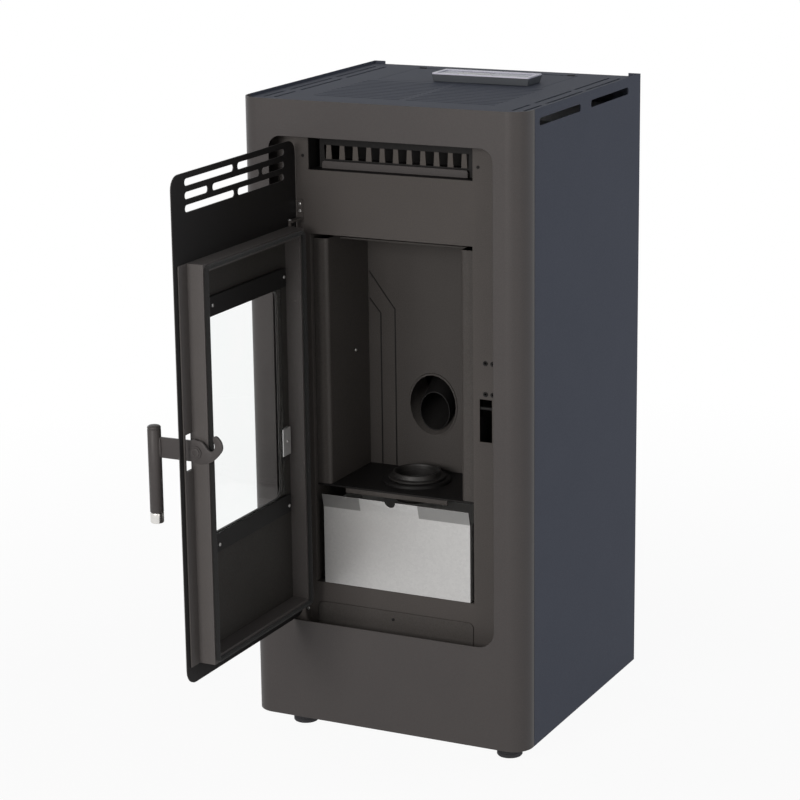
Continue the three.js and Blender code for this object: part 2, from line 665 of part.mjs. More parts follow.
function buildOutletComb() {
  const comb = rect(new THREE.Shape(), -COMB_X, COMB_X, AIR_SLOT_BOTTOM + FIT, AIR_SLOT_TOP - FIT - SHEET);
  const firstTooth = -TOOTH_PITCH * (TOOTH_COUNT - 1) / 2;
  for (let i = -1; i < TOOTH_COUNT; i += 1) {
    const left = i < 0 ? -COMB_X + TOOTH_TOP_WIDTH / 2 : firstTooth + i * TOOTH_PITCH;
    const right = i === TOOTH_COUNT - 1 ? COMB_X - TOOTH_TOP_WIDTH / 2 : firstTooth + (i + 1) * TOOTH_PITCH;
    const window = new THREE.Path();
    window.moveTo(left + TOOTH_BOTTOM_WIDTH / 2, TOOTH_BOTTOM);
    window.lineTo(right - TOOTH_BOTTOM_WIDTH / 2, TOOTH_BOTTOM);
    window.lineTo(right - TOOTH_TOP_WIDTH / 2, TOOTH_TOP);
    window.lineTo(left + TOOTH_TOP_WIDTH / 2, TOOTH_TOP);
    window.closePath();
    comb.holes.push(window);
  }
  return frontPlate(comb, COMB_Y, SHEET);
}

function buildOutletLip() {
  const lip = roundedRect(new THREE.Shape(), -LIP_X, LIP_X, AIR_SLOT_BOTTOM + FIT, LIP_TOP, 1,
    (LIP_TOP - AIR_SLOT_BOTTOM) / 3);
  return frontPlate(lip, LIP_Y, LIP_THICKNESS, 4);
}

function buildAirDuct() {
  const outer = block(-AIR_SLOT_X - SHEET, AIR_SLOT_X + SHEET, PLATE_BACK + FIT, DUCT_DEPTH,
    AIR_SLOT_BOTTOM - SHEET, AIR_SLOT_TOP + SHEET);
  const inner = block(-AIR_SLOT_X, AIR_SLOT_X, 0, DUCT_DEPTH - SHEET, AIR_SLOT_BOTTOM, AIR_SLOT_TOP);
  const riserRear = DUCT_DEPTH - RISER_REAR_MARGIN;
  const riserX = AIR_SLOT_X - RISER_INSET;
  const riser = block(-riserX, riserX, riserRear - RISER_LENGTH, riserRear, AIR_SLOT_BOTTOM - 2 * SHEET,
    AIR_SLOT_BOTTOM + SHEET);
  return cut(outer, inner, riser);
}

addMesh(stove, 'inner_front_plate', buildInnerFrontPlate(), fireSteel);
addMesh(stove, 'access_panel', buildAccessPanel(), fireSteel);
addMesh(stove, 'air_outlet_comb', buildOutletComb(), fireSteel);
addMesh(stove, 'air_outlet_lip', buildOutletLip(), fireSteel);
addMesh(stove, 'air_duct', buildAirDuct(), blackSteel);

// ---- firebox and its lining -----------------------------------------------------------------------------
// an endless rod along the chute's slope, its axis raised by lift over the sleeve's axis
function chuteRod(radius, lift, sides = 24) {
  const length = 900;
  return new THREE.CylinderGeometry(radius, radius, length, sides).rotateX(CHUTE_ANGLE)
    .translate(0, BACK_LINER_Y, CHUTE_Z + lift);
}

function buildFireboxBody() {
  const outer = block(-FIREBOX_X - FIREBOX_WALL, FIREBOX_X + FIREBOX_WALL, PLATE_BACK + FIT,
    FIREBOX_BACK_Y + FIREBOX_WALL, FIREBOX_BOTTOM - FIREBOX_WALL, FIREBOX_TOP + FIREBOX_WALL);
  const inner = block(-FIREBOX_X, FIREBOX_X, 0, FIREBOX_BACK_Y, FIREBOX_BOTTOM, FIREBOX_TOP);
  const smokePort = block(-SMOKE_BOX_X + FIREBOX_WALL, SMOKE_BOX_X - FIREBOX_WALL, FIREBOX_BACK_Y - 1,
    FIREBOX_BACK_Y + FIREBOX_WALL + 1, SMOKE_BOX_BOTTOM + FIREBOX_WALL, SMOKE_BOX_TOP - FIREBOX_WALL);
  const igniterHole = rodY(0, FIREBOX_BACK_Y - 1, FIREBOX_BACK_Y + 2 * FIREBOX_WALL, IGNITER_Z,
    IGNITER_RADIUS + FIT);
  const airHole = rodY(INTAKE_X, FIREBOX_BACK_Y - 1, FIREBOX_BACK_Y + 2 * FIREBOX_WALL, INTAKE_Z,
    INTAKE_RADIUS - FIREBOX_WALL);
  const shell = cut(outer, inner, smokePort, igniterHole, airHole);
  const reach = 3 * SLEEVE_RADIUS;
  const sleeve = cut(chuteRod(SLEEVE_RADIUS, 0), block(-reach, reach, -HEIGHT, BACK_LINER_Y - 1, 0, HEIGHT),
    block(-reach, reach, SLEEVE_END_Y, HEIGHT, 0, 2 * HEIGHT));
  return cut(join(shell, sleeve), chuteRod(SLEEVE_INNER, 0));
}

function buildBackLiner() {
  const liner = block(-FIREBOX_X + FIT, FIREBOX_X - FIT, BACK_LINER_Y, BACK_LINER_Y + BACK_LINER_THICKNESS,
    DECK_TOP + FIT, LINER_TOP);
  const grooves = [];
  for (const side of [-1, 1]) {
    for (const { outerZ, innerX, innerZ } of [ENGRAVED_UPPER, ENGRAVED_LOWER]) {
      const outerX = ENGRAVED_OUTER_X + SHEET;
      const slope = (outerZ - innerZ) / (outerX - innerX);
      const fall = ENGRAVED_WIDTH * Math.hypot(1, slope);
      const line = polygon([
        [side * outerX, outerZ], [side * innerX, innerZ], [side * innerX, DECK_TOP - SHEET],
        [side * (innerX + ENGRAVED_WIDTH), DECK_TOP - SHEET],
        [side * (innerX + ENGRAVED_WIDTH), innerZ + slope * ENGRAVED_WIDTH - fall],
        [side * outerX, outerZ - fall],
      ]);
      grooves.push(frontPlate(line, BACK_LINER_Y - 1, 1 + ENGRAVED_DEPTH));
    }
  }
  return cut(liner, chuteRod(SLEEVE_RADIUS + FIT, 0), ...grooves);
}

function buildSideLiner(side) {
  const outside = FIREBOX_X - FIT;
  const front = LINER_Y;
  const back = BACK_LINER_Y - FIT;
  const section = new THREE.Shape();
  section.moveTo(outside, front);
  section.lineTo(LINER_X + LINER_BEND, front);
  section.absarc(LINER_X + LINER_BEND, front + LINER_BEND, LINER_BEND, 1.5 * Math.PI, Math.PI, true);
  section.lineTo(LINER_X, back);
  section.lineTo(LINER_X + LINER_THICKNESS, back);
  section.absarc(LINER_X + LINER_BEND, front + LINER_BEND, LINER_BEND - LINER_THICKNESS, Math.PI,
    1.5 * Math.PI, false);
  section.lineTo(outside, front + LINER_THICKNESS);
  section.closePath();
  const right = topPlate(section, DECK_TOP + FIT, LINER_TOP - DECK_TOP - FIT, 5);
  return side > 0 ? right : toGeometry(toSolid(right).mirror([1, 0, 0]));
}

function buildBaffle() {
  const length = BAFFLE_LENGTH;
  const plate = block(-LINER_X + FIT, LINER_X - FIT, -length, 0, 0, FIREBOX_WALL).rotateX(-BAFFLE_TILT);
  return plate.translate(0, BACK_LINER_Y - FIT - FIREBOX_WALL * Math.sin(BAFFLE_TILT), BAFFLE_Z);
}

function buildDeck() {
  const plate = block(-FIREBOX_X + FIT, FIREBOX_X - FIT, LINER_Y, FIREBOX_BACK_Y - FIT,
    DECK_TOP - DECK_THICKNESS, DECK_TOP);
  const lip = block(-DECK_FLANGE_X, DECK_FLANGE_X, LINER_Y, LINER_Y + SHEET, DECK_TOP - DECK_FLANGE_HEIGHT,
    DECK_TOP - DECK_THICKNESS / 2);
  const ring = turned([
    [0, -DECK_THICKNESS / 2], [RING_OUTER_RADIUS, -DECK_THICKNESS / 2], [RING_OUTER_RADIUS, RING_HEIGHT - 2],
    [RING_OUTER_RADIUS - 2, RING_HEIGHT], [0, RING_HEIGHT],
  ], 0, POT_Y, DECK_TOP, 28);
  const well = rodZ(0, POT_Y, DECK_TOP - 2 * DECK_THICKNESS, DECK_TOP + 2 * RING_HEIGHT, POT_RADIUS + 2, 28);
  return cut(join(plate, lip, ring), well);
}

function buildBurnPot() {
  const seat = DECK_TOP + RING_HEIGHT + FIT;
  const inside = POT_RADIUS - POT_WALL;
  const cup = turned([
    [0, POT_BOTTOM], [POT_RADIUS - 4, POT_BOTTOM], [POT_RADIUS, POT_BOTTOM + 4], [POT_RADIUS, seat],
    [POT_FLANGE_RADIUS, seat], [POT_FLANGE_RADIUS, seat + 2], [POT_FLANGE_RADIUS - 1, seat + 3],
    [POT_RADIUS, seat + 3], [POT_RADIUS, POT_TOP - 1.5], [POT_RADIUS - 1.5, POT_TOP], [inside, POT_TOP],
    [inside, POT_BOTTOM + POT_WALL], [0, POT_BOTTOM + POT_WALL],
  ], 0, POT_Y, 0, 20);
  const holes = [rodZ(0, POT_Y, POT_BOTTOM - 1, POT_BOTTOM + 2 * POT_WALL, POT_HOLE_RADIUS, 6)];
  for (let i = 0; i < POT_HOLE_COUNT; i += 1) {
    const angle = i * 2 * Math.PI / POT_HOLE_COUNT;
    const x = Math.cos(angle) * inside * 0.6;
    const y = POT_Y + Math.sin(angle) * inside * 0.6;
    holes.push(rodZ(x, y, POT_BOTTOM - 1, POT_BOTTOM + 2 * POT_WALL, POT_HOLE_RADIUS, 6));
  }
  return cut(cup, ...holes);
}

function buildChuteTube() {
  const tube = cut(chuteRod(CHUTE_RADIUS, -CHUTE_DROP), chuteRod(CHUTE_RADIUS - CHUTE_WALL, -CHUTE_DROP));
  const reach = 3 * CHUTE_RADIUS;
  const top = AUGER_Z - AUGER_TUBE_RADIUS - FIT;
  return cut(tube, block(-reach, reach, -HEIGHT, CHUTE_END_Y, 0, HEIGHT),
    block(-reach, reach, -HEIGHT, 2 * HEIGHT, top, 2 * HEIGHT));
}

addMesh(stove, 'firebox_body', buildFireboxBody(), fireSteel);
addMesh(stove, 'back_liner', buildBackLiner(), fireSteel);
addMesh(stove, 'side_liner_left', buildSideLiner(-1), fireSteel);
addMesh(stove, 'side_liner_right', buildSideLiner(1), fireSteel);
addMesh(stove, 'baffle', buildBaffle(), fireSteel);
addMesh(stove, 'burn_pot_deck', buildDeck(), blackSteel);
addMesh(stove, 'burn_pot', buildBurnPot(), castIron);
addMesh(stove, 'chute_tube', buildChuteTube(), blackSteel);

// ---- pellet feed ----------------------------------------------------------------------------------------
function buildAugerTube() {
  const r = AUGER_TUBE_RADIUS;
  const tube = cut(rodY(0, AUGER_FRONT_Y, AUGER_REAR_Y, AUGER_Z, r, 20),
    rodY(0, AUGER_FRONT_Y + AUGER_TUBE_WALL, AUGER_REAR_Y + 1, AUGER_Z, r - AUGER_TUBE_WALL, 20));
  const half = r * 0.7;
  return cut(tube, block(-half, half, ...AUGER_OUTLET, AUGER_Z - 2 * r, AUGER_Z - r / 3),
    block(-HOPPER_OUTLET_X + HOPPER_WALL, HOPPER_OUTLET_X - HOPPER_WALL, ...AUGER_INLET, AUGER_Z + r / 3,
      AUGER_Z + 2 * r));
}

function buildAugerScrew() {
  const front = AUGER_FRONT_Y + AUGER_TUBE_WALL + 2;
  const rear = AUGER_REAR_Y + GEARBOX_DEPTH / 2;
  const turns = (AUGER_REAR_Y - 6 - front - 4) / AUGER_PITCH;
  const steps = Math.round(turns * 10);
  const positions = [];
  const index = [];
  const flight = 3;
  for (let i = 0; i <= steps; i += 1) {
    const angle = i * 2 * Math.PI * turns / steps;
    const y = front + 2 + i * AUGER_PITCH * turns / steps;
    for (const [radius, shift] of [[AUGER_SHAFT_RADIUS - 2, 0], [AUGER_FLIGHT_RADIUS, 0],
      [AUGER_FLIGHT_RADIUS, flight], [AUGER_SHAFT_RADIUS - 2, flight]]) {
      positions.push(radius * Math.cos(angle), y + shift, AUGER_Z + radius * Math.sin(angle));
    }
  }
  for (let i = 0; i < steps; i += 1) {
    for (let k = 0; k < 4; k += 1) {
      const a = 4 * i + k;
      const b = 4 * i + (k + 1) % 4;
      index.push(a, b, b + 4, a, b + 4, a + 4);
    }
  }
  const last = 4 * steps;
  index.push(0, 2, 1, 0, 3, 2, last, last + 1, last + 2, last, last + 2, last + 3);
  const ribbon = new THREE.BufferGeometry();
  ribbon.setAttribute('position', new THREE.Float32BufferAttribute(positions, 3));
  ribbon.setIndex(index);
  const shaft = rodY(0, front, rear, AUGER_Z, AUGER_SHAFT_RADIUS, 16);
  const solid = toSolid(ribbon);
  if (solid.volume() < 0) {
    ribbon.index.array.reverse();
  }
  return join(shaft, ribbon);
}

function buildGearmotor() {
  const front = AUGER_REAR_Y + FIT;
  const rear = front + GEARBOX_DEPTH;
  const box = block(-GEARBOX_HALF, GEARBOX_HALF, front, rear, AUGER_Z - GEARBOX_HALF,
    AUGER_Z + GEARBOX_HALF * 0.6);
  const motor = rodY(0, rear - 1, rear + GEARMOTOR_LENGTH, AUGER_Z - 8, GEARMOTOR_RADIUS, 20);
  const bore = rodY(0, front - 1, AUGER_REAR_Y + GEARBOX_DEPTH / 2 + 1, AUGER_Z,
    AUGER_SHAFT_RADIUS + FIT, 16);
  return cut(join(box, motor), bore);
}

function buildHopper() {
  const grow = ([x0, x1, y0, y1], by) => [x0 - by, x1 + by, y0 - by, y1 + by];
  const outletRect = [-HOPPER_OUTLET_X, HOPPER_OUTLET_X, AUGER_INLET[0] - HOPPER_WALL,
    AUGER_INLET[1] + HOPPER_WALL];
  const body = [-HOPPER_X, HOPPER_X, HOPPER_FRONT_Y, HOPPER_REAR_Y];
  const neck = [-LID_X + 1, LID_X - 1, LID_FRONT_Y + 1, LID_REAR_Y - 0.5];
  const outlet = AUGER_Z + AUGER_TUBE_RADIUS + FIT;
  const top = TOP_Z - SHEET - FIT;
  const stack = (by, open) => join(
    funnel(grow(outletRect, by), grow(outletRect, by), outlet - open, outlet + 12),
    funnel(grow(outletRect, by), grow(body, by), outlet + 12, HOPPER_WAIST),
    block(...grow(body, by), HOPPER_WAIST, HOPPER_SHOULDER + by),
    block(...grow(neck, by), HOPPER_SHOULDER - 5, top + open));
  return cut(stack(0, 0), stack(-HOPPER_WALL, 1));
}

addMesh(stove, 'hopper', buildHopper(), galvanised);
addMesh(stove, 'auger_tube', buildAugerTube(), rawSteel);
addMesh(stove, 'auger_screw', buildAugerScrew(), rawSteel);
addMesh(stove, 'auger_gearmotor', buildGearmotor(), blackPlastic);

// ---- lid and control panel ------------------------------------------------------------------------------
function buildLid() {
  const outline = polygon([
    [-LID_X, LID_FRONT_Y], [LID_FINGER_LEFT, LID_FRONT_Y],
    [LID_FINGER_LEFT, LID_FRONT_Y + LID_FINGER_DEPTH], [LID_FINGER_RIGHT, LID_FRONT_Y + LID_FINGER_DEPTH],
    [LID_FINGER_RIGHT, LID_FRONT_Y], [LID_X, LID_FRONT_Y], [LID_X, LID_REAR_Y], [-LID_X, LID_REAR_Y],
  ]);
  const inset = LID_RIM;
  const rim = cut(
    block(-LID_X + inset, LID_X - inset, LID_FRONT_Y + inset, LID_REAR_Y - inset, TOP_Z - SHEET - LID_RIM,
      TOP_Z - SHEET / 2),
    block(-LID_X + inset + SHEET, LID_X - inset - SHEET, LID_FRONT_Y + inset + SHEET,
      LID_REAR_Y - inset - SHEET, 0, TOP_Z - SHEET));
  return join(topPlate(outline, TOP_Z - SHEET, SHEET), rim);
}

// one leaf under the top cover carries a barrel at each rear corner of the lid
function buildLidHinge() {
  const below = TOP_Z - SHEET - FIT;
  const half = LID_HINGE_X + LID_HINGE_LENGTH / 2;
  const pieces = [block(-half, half, HINGE_AXIS_Y - LID_HINGE_RADIUS / 2, HINGE_AXIS_Y + LID_HINGE_LEAF,
    below - SHEET, below)];
  for (const x of [-LID_HINGE_X, LID_HINGE_X]) {
    const x0 = x - LID_HINGE_LENGTH / 2;
    const x1 = x0 + LID_HINGE_LENGTH;
    pieces.push(rodX(x0, x1, HINGE_AXIS_Y, HINGE_AXIS_Z, LID_HINGE_RADIUS, 12));
    pieces.push(block(x0, x1, HINGE_AXIS_Y - LID_HINGE_RADIUS / 2, HINGE_AXIS_Y + LID_HINGE_RADIUS / 2,
      below - SHEET / 2, HINGE_AXIS_Z));
  }
  return join(...pieces);
}

function buildPanelHousing() {
  const bottom = TOP_Z + FIT;
  const shell = funnel([PANEL_LEFT + 3, PANEL_RIGHT - 3, PANEL_FRONT_Y + 1, PANEL_REAR_Y - 3],
    [PANEL_LEFT, PANEL_RIGHT, PANEL_FRONT_Y, PANEL_REAR_Y], bottom, bottom + PANEL_HEIGHT);
  const pocket = block(PANEL_LEFT + 2 * BEZEL_BORDER, PANEL_RIGHT - 2 * BEZEL_BORDER,
    PANEL_FRONT_Y + 2 * BEZEL_BORDER, PANEL_REAR_Y - 2 * BEZEL_BORDER, bottom + SHEET,
    bottom + PANEL_HEIGHT + 1);
  return cut(shell, pocket);
}

function buildBezel() {
  const bottom = TOP_Z + FIT + PANEL_HEIGHT + FIT;
  const outline = rect(new THREE.Shape(), PANEL_LEFT, PANEL_RIGHT, PANEL_FRONT_Y, PANEL_REAR_Y);
  outline.holes.push(rect(new THREE.Path(), PANEL_LEFT + BEZEL_BORDER, PANEL_RIGHT - BEZEL_BORDER,
    PANEL_FRONT_Y + BEZEL_BORDER, PANEL_REAR_Y - BEZEL_BORDER));
  return topPlate(outline, bottom, BEZEL_THICKNESS);
}

function buildPanelGlass() {
  const inset = BEZEL_BORDER + FIT;
  const bottom = TOP_Z + FIT + PANEL_HEIGHT + FIT;
  return block(PANEL_LEFT + inset, PANEL_RIGHT - inset, PANEL_FRONT_Y + inset, PANEL_REAR_Y - inset, bottom,
    bottom + BEZEL_THICKNESS - GLASS_RECESS);
}

addMesh(stove, 'hopper_lid', buildLid(), blueCoat);
addMesh(stove, 'lid_hinge', buildLidHinge(), rawSteel);
addMesh(stove, 'control_panel_housing', buildPanelHousing(), blackPlastic);
addMesh(stove, 'control_panel_bezel', buildBezel(), paleBezel);
addMesh(stove, 'control_panel_glass', buildPanelGlass(), paleBezel);

// ---- ash drawer -----------------------------------------------------------------------------------------
function buildDrawer() {
  const bottom = FIREBOX_BOTTOM + FIT;
  const back = PLATE_Y + DRAWER_DEPTH;
  const box = cut(block(DRAWER_LEFT, DRAWER_RIGHT, PLATE_Y, back, bottom, DRAWER_TOP),
    block(DRAWER_LEFT + DRAWER_WALL, DRAWER_RIGHT - DRAWER_WALL, PLATE_Y + DRAWER_WALL, back - DRAWER_WALL,
      bottom + DRAWER_WALL, DRAWER_TOP + 1));
  const lean = polygon([
    [PLATE_Y, DRAWER_TOP - 1], [PLATE_Y + DRAWER_WALL, DRAWER_TOP - 1], [PLATE_Y + DRAWER_WALL, DRAWER_TOP],
    [PLATE_Y + DRAWER_WALL - DRAWER_LIP_LEAN, DRAWER_LIP_TOP], [PLATE_Y - DRAWER_LIP_LEAN, DRAWER_LIP_TOP],
    [PLATE_Y, DRAWER_TOP],
  ]);
  const lip = sidePlate(lean, DRAWER_LEFT, DRAWER_RIGHT - DRAWER_LEFT);
  const notch = rodY(NOTCH_X, PLATE_Y - 4 * DRAWER_LIP_LEAN, PLATE_Y + 2 * DRAWER_LIP_LEAN, DRAWER_LIP_TOP,
    NOTCH_RADIUS, 20);
  return cut(join(box, lip), notch);
}

addMesh(stove, 'ash_drawer', buildDrawer(), galvanised);

// ---- smoke fan, flue, combustion air, igniter -----------------------------------------------------------
const FIREBOX_REAR = FIREBOX_BACK_Y + FIREBOX_WALL;
const FAN_FRONT_Y = FIREBOX_REAR + FIT + SMOKE_BOX_DEPTH;
const FAN_REAR_Y = FAN_FRONT_Y + SMOKE_FAN_DEPTH;

function buildSmokeFanHousing() {
  const box = block(-SMOKE_BOX_X, SMOKE_BOX_X, FIREBOX_REAR + FIT, FAN_FRONT_Y + SHEET, SMOKE_BOX_BOTTOM,
    SMOKE_BOX_TOP);
  const drum = rodY(0, FAN_FRONT_Y, FAN_REAR_Y, SMOKE_FAN_Z, SMOKE_FAN_RADIUS, 28);
  const outlet = block(FLUE_X - FLUE_RADIUS, 0, FAN_FRONT_Y, FAN_REAR_Y, SMOKE_FAN_Z - SMOKE_FAN_RADIUS,
    FLUE_Z + FLUE_RADIUS);
  const boxInside = block(-SMOKE_BOX_X + SHEET, SMOKE_BOX_X - SHEET, 0, FAN_FRONT_Y, SMOKE_BOX_BOTTOM + SHEET,
    SMOKE_BOX_TOP - SHEET);
  const drumInside = rodY(0, FAN_FRONT_Y + SHEET, FAN_REAR_Y - SHEET, SMOKE_FAN_Z,
    SMOKE_FAN_RADIUS - SHEET, 28);
  const outletInside = block(FLUE_X - FLUE_RADIUS + SHEET, 0, FAN_FRONT_Y + SHEET, FAN_REAR_Y - SHEET,
    SMOKE_FAN_Z - SMOKE_FAN_RADIUS + SHEET, FLUE_Z + FLUE_RADIUS - SHEET);
  const eye = rodY(0, FAN_FRONT_Y - 1, FAN_FRONT_Y + 2 * SHEET, SMOKE_FAN_Z, SMOKE_IMPELLER_RADIUS / 2, 20);
  const shaftHole = rodY(0, FAN_REAR_Y - 2 * SHEET, FAN_REAR_Y + 1, SMOKE_FAN_Z, 8, 16);
  const flueHole = rodY(FLUE_X, FAN_REAR_Y - 2 * SHEET, FAN_REAR_Y + 1, FLUE_Z,
    FLUE_RADIUS - FLUE_WALL - 1, 20);
  return cut(join(box, drum, outlet), boxInside, drumInside, outletInside, eye, shaftHole, flueHole);
}

function buildSmokeImpeller() {
  const front = FAN_FRONT_Y + 3 * SHEET;
  const rear = FAN_REAR_Y - 3 * SHEET;
  const disc = rodY(0, rear - SHEET, rear, SMOKE_FAN_Z, SMOKE_IMPELLER_RADIUS, 24);
  const hub = rodY(0, rear - 14, FAN_REAR_Y + 8, SMOKE_FAN_Z, 5, 12);
  const blades = [];
  for (let i = 0; i < SMOKE_BLADE_COUNT; i += 1) {
    const blade = block(SMOKE_IMPELLER_RADIUS * 0.45, SMOKE_IMPELLER_RADIUS - 1, front, rear - SHEET / 2,
      -SHEET / 2, SHEET / 2);
    blades.push(blade.rotateY(i * 2 * Math.PI / SMOKE_BLADE_COUNT).translate(0, 0, SMOKE_FAN_Z));
  }
  return join(disc, hub, ...blades);
}

function buildSmokeMotor() {
  const front = FAN_REAR_Y + FIT;
  const can = rodY(0, front, front + SMOKE_MOTOR_LENGTH, SMOKE_FAN_Z, SMOKE_MOTOR_RADIUS, 24);
  return cut(can, rodY(0, front - 1, FAN_REAR_Y + 9, SMOKE_FAN_Z, 5 + FIT, 12));
}

function buildPipe(x, y0, y1, z, radius, wall) {
  return cut(rodY(x, y0, y1, z, radius, 28), rodY(x, y0 - 1, y1 + 1, z, radius - wall, 28));
}

function buildFlue() {
  const pipe = buildPipe(FLUE_X, FAN_REAR_Y + FIT, DEPTH + FLUE_REACH, FLUE_Z, FLUE_RADIUS, FLUE_WALL);
  const collarFront = BACK_PANEL_Y + SHEET + FIT;
  const collar = buildPipe(FLUE_X, collarFront, collarFront + SHEET, FLUE_Z, FLUE_RADIUS + 12, 13);
  return join(pipe, collar);
}

function buildIntake() {
  const pipe = buildPipe(INTAKE_X, FIREBOX_REAR + FIT, DEPTH + INTAKE_REACH, INTAKE_Z, INTAKE_RADIUS,
    FLUE_WALL);
  const collarFront = BACK_PANEL_Y + SHEET + FIT;
  const collar = buildPipe(INTAKE_X, collarFront, collarFront + SHEET, INTAKE_Z, INTAKE_RADIUS + 8, 9);
  return join(pipe, collar);
}

function buildIgniter() {
  const rod = rodY(0, IGNITER_FRONT_Y, IGNITER_FRONT_Y + IGNITER_LENGTH, IGNITER_Z, IGNITER_RADIUS, 12);
  const collar = rodY(0, FIREBOX_REAR + FIT, FIREBOX_REAR + FIT + 4, IGNITER_Z, IGNITER_RADIUS + 5, 12);
  return join(rod, collar);
}

addMesh(stove, 'smoke_fan_housing', buildSmokeFanHousing(), galvanised);
addMesh(stove, 'smoke_impeller', buildSmokeImpeller(), rawSteel);
addMesh(stove, 'smoke_motor', buildSmokeMotor(), blackPlastic);
addMesh(stove, 'flue_spigot', buildFlue(), blackSteel);
addMesh(stove, 'air_intake_pipe', buildIntake(), rawSteel);
addMesh(stove, 'igniter', buildIgniter(), rawSteel);

// ---- room-air fan ---------------------------------------------------------------------------------------
function buildRoomFanHousing() {
  const r = ROOM_FAN_RADIUS;
  const x = ROOM_FAN_X;
  const foot = block(-x, x, ROOM_FAN_Y - 20, ROOM_FAN_Y + 20, FLOOR_TOP + FIT, ROOM_FAN_Z);
  const drum = rodX(-x, x, ROOM_FAN_Y, ROOM_FAN_Z, r, 24);
  const throat = block(-x, x, ROOM_FAN_Y - r, ROOM_FAN_Y - 4, ROOM_FAN_Z, ROOM_FAN_Z + r + 20);
  const inside = rodX(-x + SHEET, x - SHEET, ROOM_FAN_Y, ROOM_FAN_Z, r - SHEET, 24);
  const throatInside = block(-x + SHEET, x - SHEET, ROOM_FAN_Y - r + SHEET, ROOM_FAN_Y - 4 - SHEET,
    ROOM_FAN_Z, ROOM_FAN_Z + r + 21);
  const intake = block(-x + 10, x - 10, ROOM_FAN_Y, ROOM_FAN_Y + 2 * r, ROOM_FAN_Z - r * 0.6,
    ROOM_FAN_Z + r * 0.6);
  const axle = rodX(-x - 1, x + 1, ROOM_FAN_Y, ROOM_FAN_Z, 4, 12);
  return cut(join(foot, drum, throat), inside, throatInside, intake, axle);
}

function buildRoomWheel() {
  const half = ROOM_FAN_X - SHEET - 3;
  const pieces = [rodX(-half - 8, half + 18, ROOM_FAN_Y, ROOM_FAN_Z, 3, 10)];
  for (const x of [-half, -SHEET / 2, half - SHEET]) {
    pieces.push(rodX(x, x + SHEET, ROOM_FAN_Y, ROOM_FAN_Z, ROOM_WHEEL_RADIUS, 18));
  }
  for (let i = 0; i < ROOM_BLADE_COUNT; i += 1) {
    const blade = block(-half + 1, half - 1, -1, 1, ROOM_WHEEL_RADIUS - 11, ROOM_WHEEL_RADIUS - 1);
    pieces.push(blade.rotateX(i * 2 * Math.PI / ROOM_BLADE_COUNT).translate(0, ROOM_FAN_Y, ROOM_FAN_Z));
  }
  return join(...pieces);
}

function buildRoomMotor() {
  const left = ROOM_FAN_X + FIT;
  const can = rodX(left, left + ROOM_MOTOR_LENGTH, ROOM_FAN_Y, ROOM_FAN_Z, ROOM_MOTOR_RADIUS, 20);
  const foot = block(left + 6, left + ROOM_MOTOR_LENGTH - 6, ROOM_FAN_Y - 14, ROOM_FAN_Y + 14,
    FLOOR_TOP + FIT, ROOM_FAN_Z);
  return cut(join(can, foot), rodX(left - 1, ROOM_FAN_X + 16, ROOM_FAN_Y, ROOM_FAN_Z, 3 + FIT, 10));
}

addMesh(stove, 'room_fan_housing', buildRoomFanHousing(), galvanised);
addMesh(stove, 'room_fan_wheel', buildRoomWheel(), rawSteel);
addMesh(stove, 'room_fan_motor', buildRoomMotor(), blackPlastic);

// ---- electrics ------------------------------------------------------------------------------------------
function buildControlBoard() {
  const wall = INNER;
  const boardX = wall - BOARD_STANDOFF;
  const pieces = [block(boardX - SHEET, boardX, BOARD_Y, BOARD_Y + BOARD_LENGTH, BOARD_BOTTOM,
    BOARD_BOTTOM + BOARD_HEIGHT)];
  const postYs = [BOARD_Y + BOARD_POST_INSET, BOARD_Y + BOARD_LENGTH - BOARD_POST_INSET];
  const postZs = [BOARD_BOTTOM + BOARD_POST_INSET, BOARD_BOTTOM + BOARD_HEIGHT - BOARD_POST_INSET];
  for (const y of postYs) {
    for (const z of postZs) {
      pieces.push(rodX(boardX - SHEET / 2, wall, y, z, BOARD_POST_RADIUS, 8));
    }
  }
  const transformerY = BOARD_Y + TRANSFORMER_INSET;
  const transformerZ = BOARD_BOTTOM + TRANSFORMER_INSET;
  pieces.push(block(boardX - TRANSFORMER_HEIGHT, boardX - SHEET / 2, transformerY,
    transformerY + TRANSFORMER_SIZE, transformerZ, transformerZ + TRANSFORMER_SIZE));
  const relayY = BOARD_Y + RELAY_INSET_Y;
  const relayZ = BOARD_BOTTOM + RELAY_INSET_Z;
  pieces.push(block(boardX - RELAY_HEIGHT, boardX - SHEET / 2, relayY, relayY + RELAY_LENGTH, relayZ,
    relayZ + RELAY_WIDTH));
  return join(...pieces);
}

function buildSocket(x, z, width, height, depth) {
  const rear = BACK_PANEL_Y + SHEET + FIT;
  const body = block(x - width / 2, x + width / 2, BACK_PANEL_Y - depth, rear + 1, z - height / 2,
    z + height / 2);
  const collar = block(x - width / 2 - 3, x + width / 2 + 3, rear, rear + SHEET, z - height / 2 - 3,
    z + height / 2 + 3);
  return join(body, collar);
}

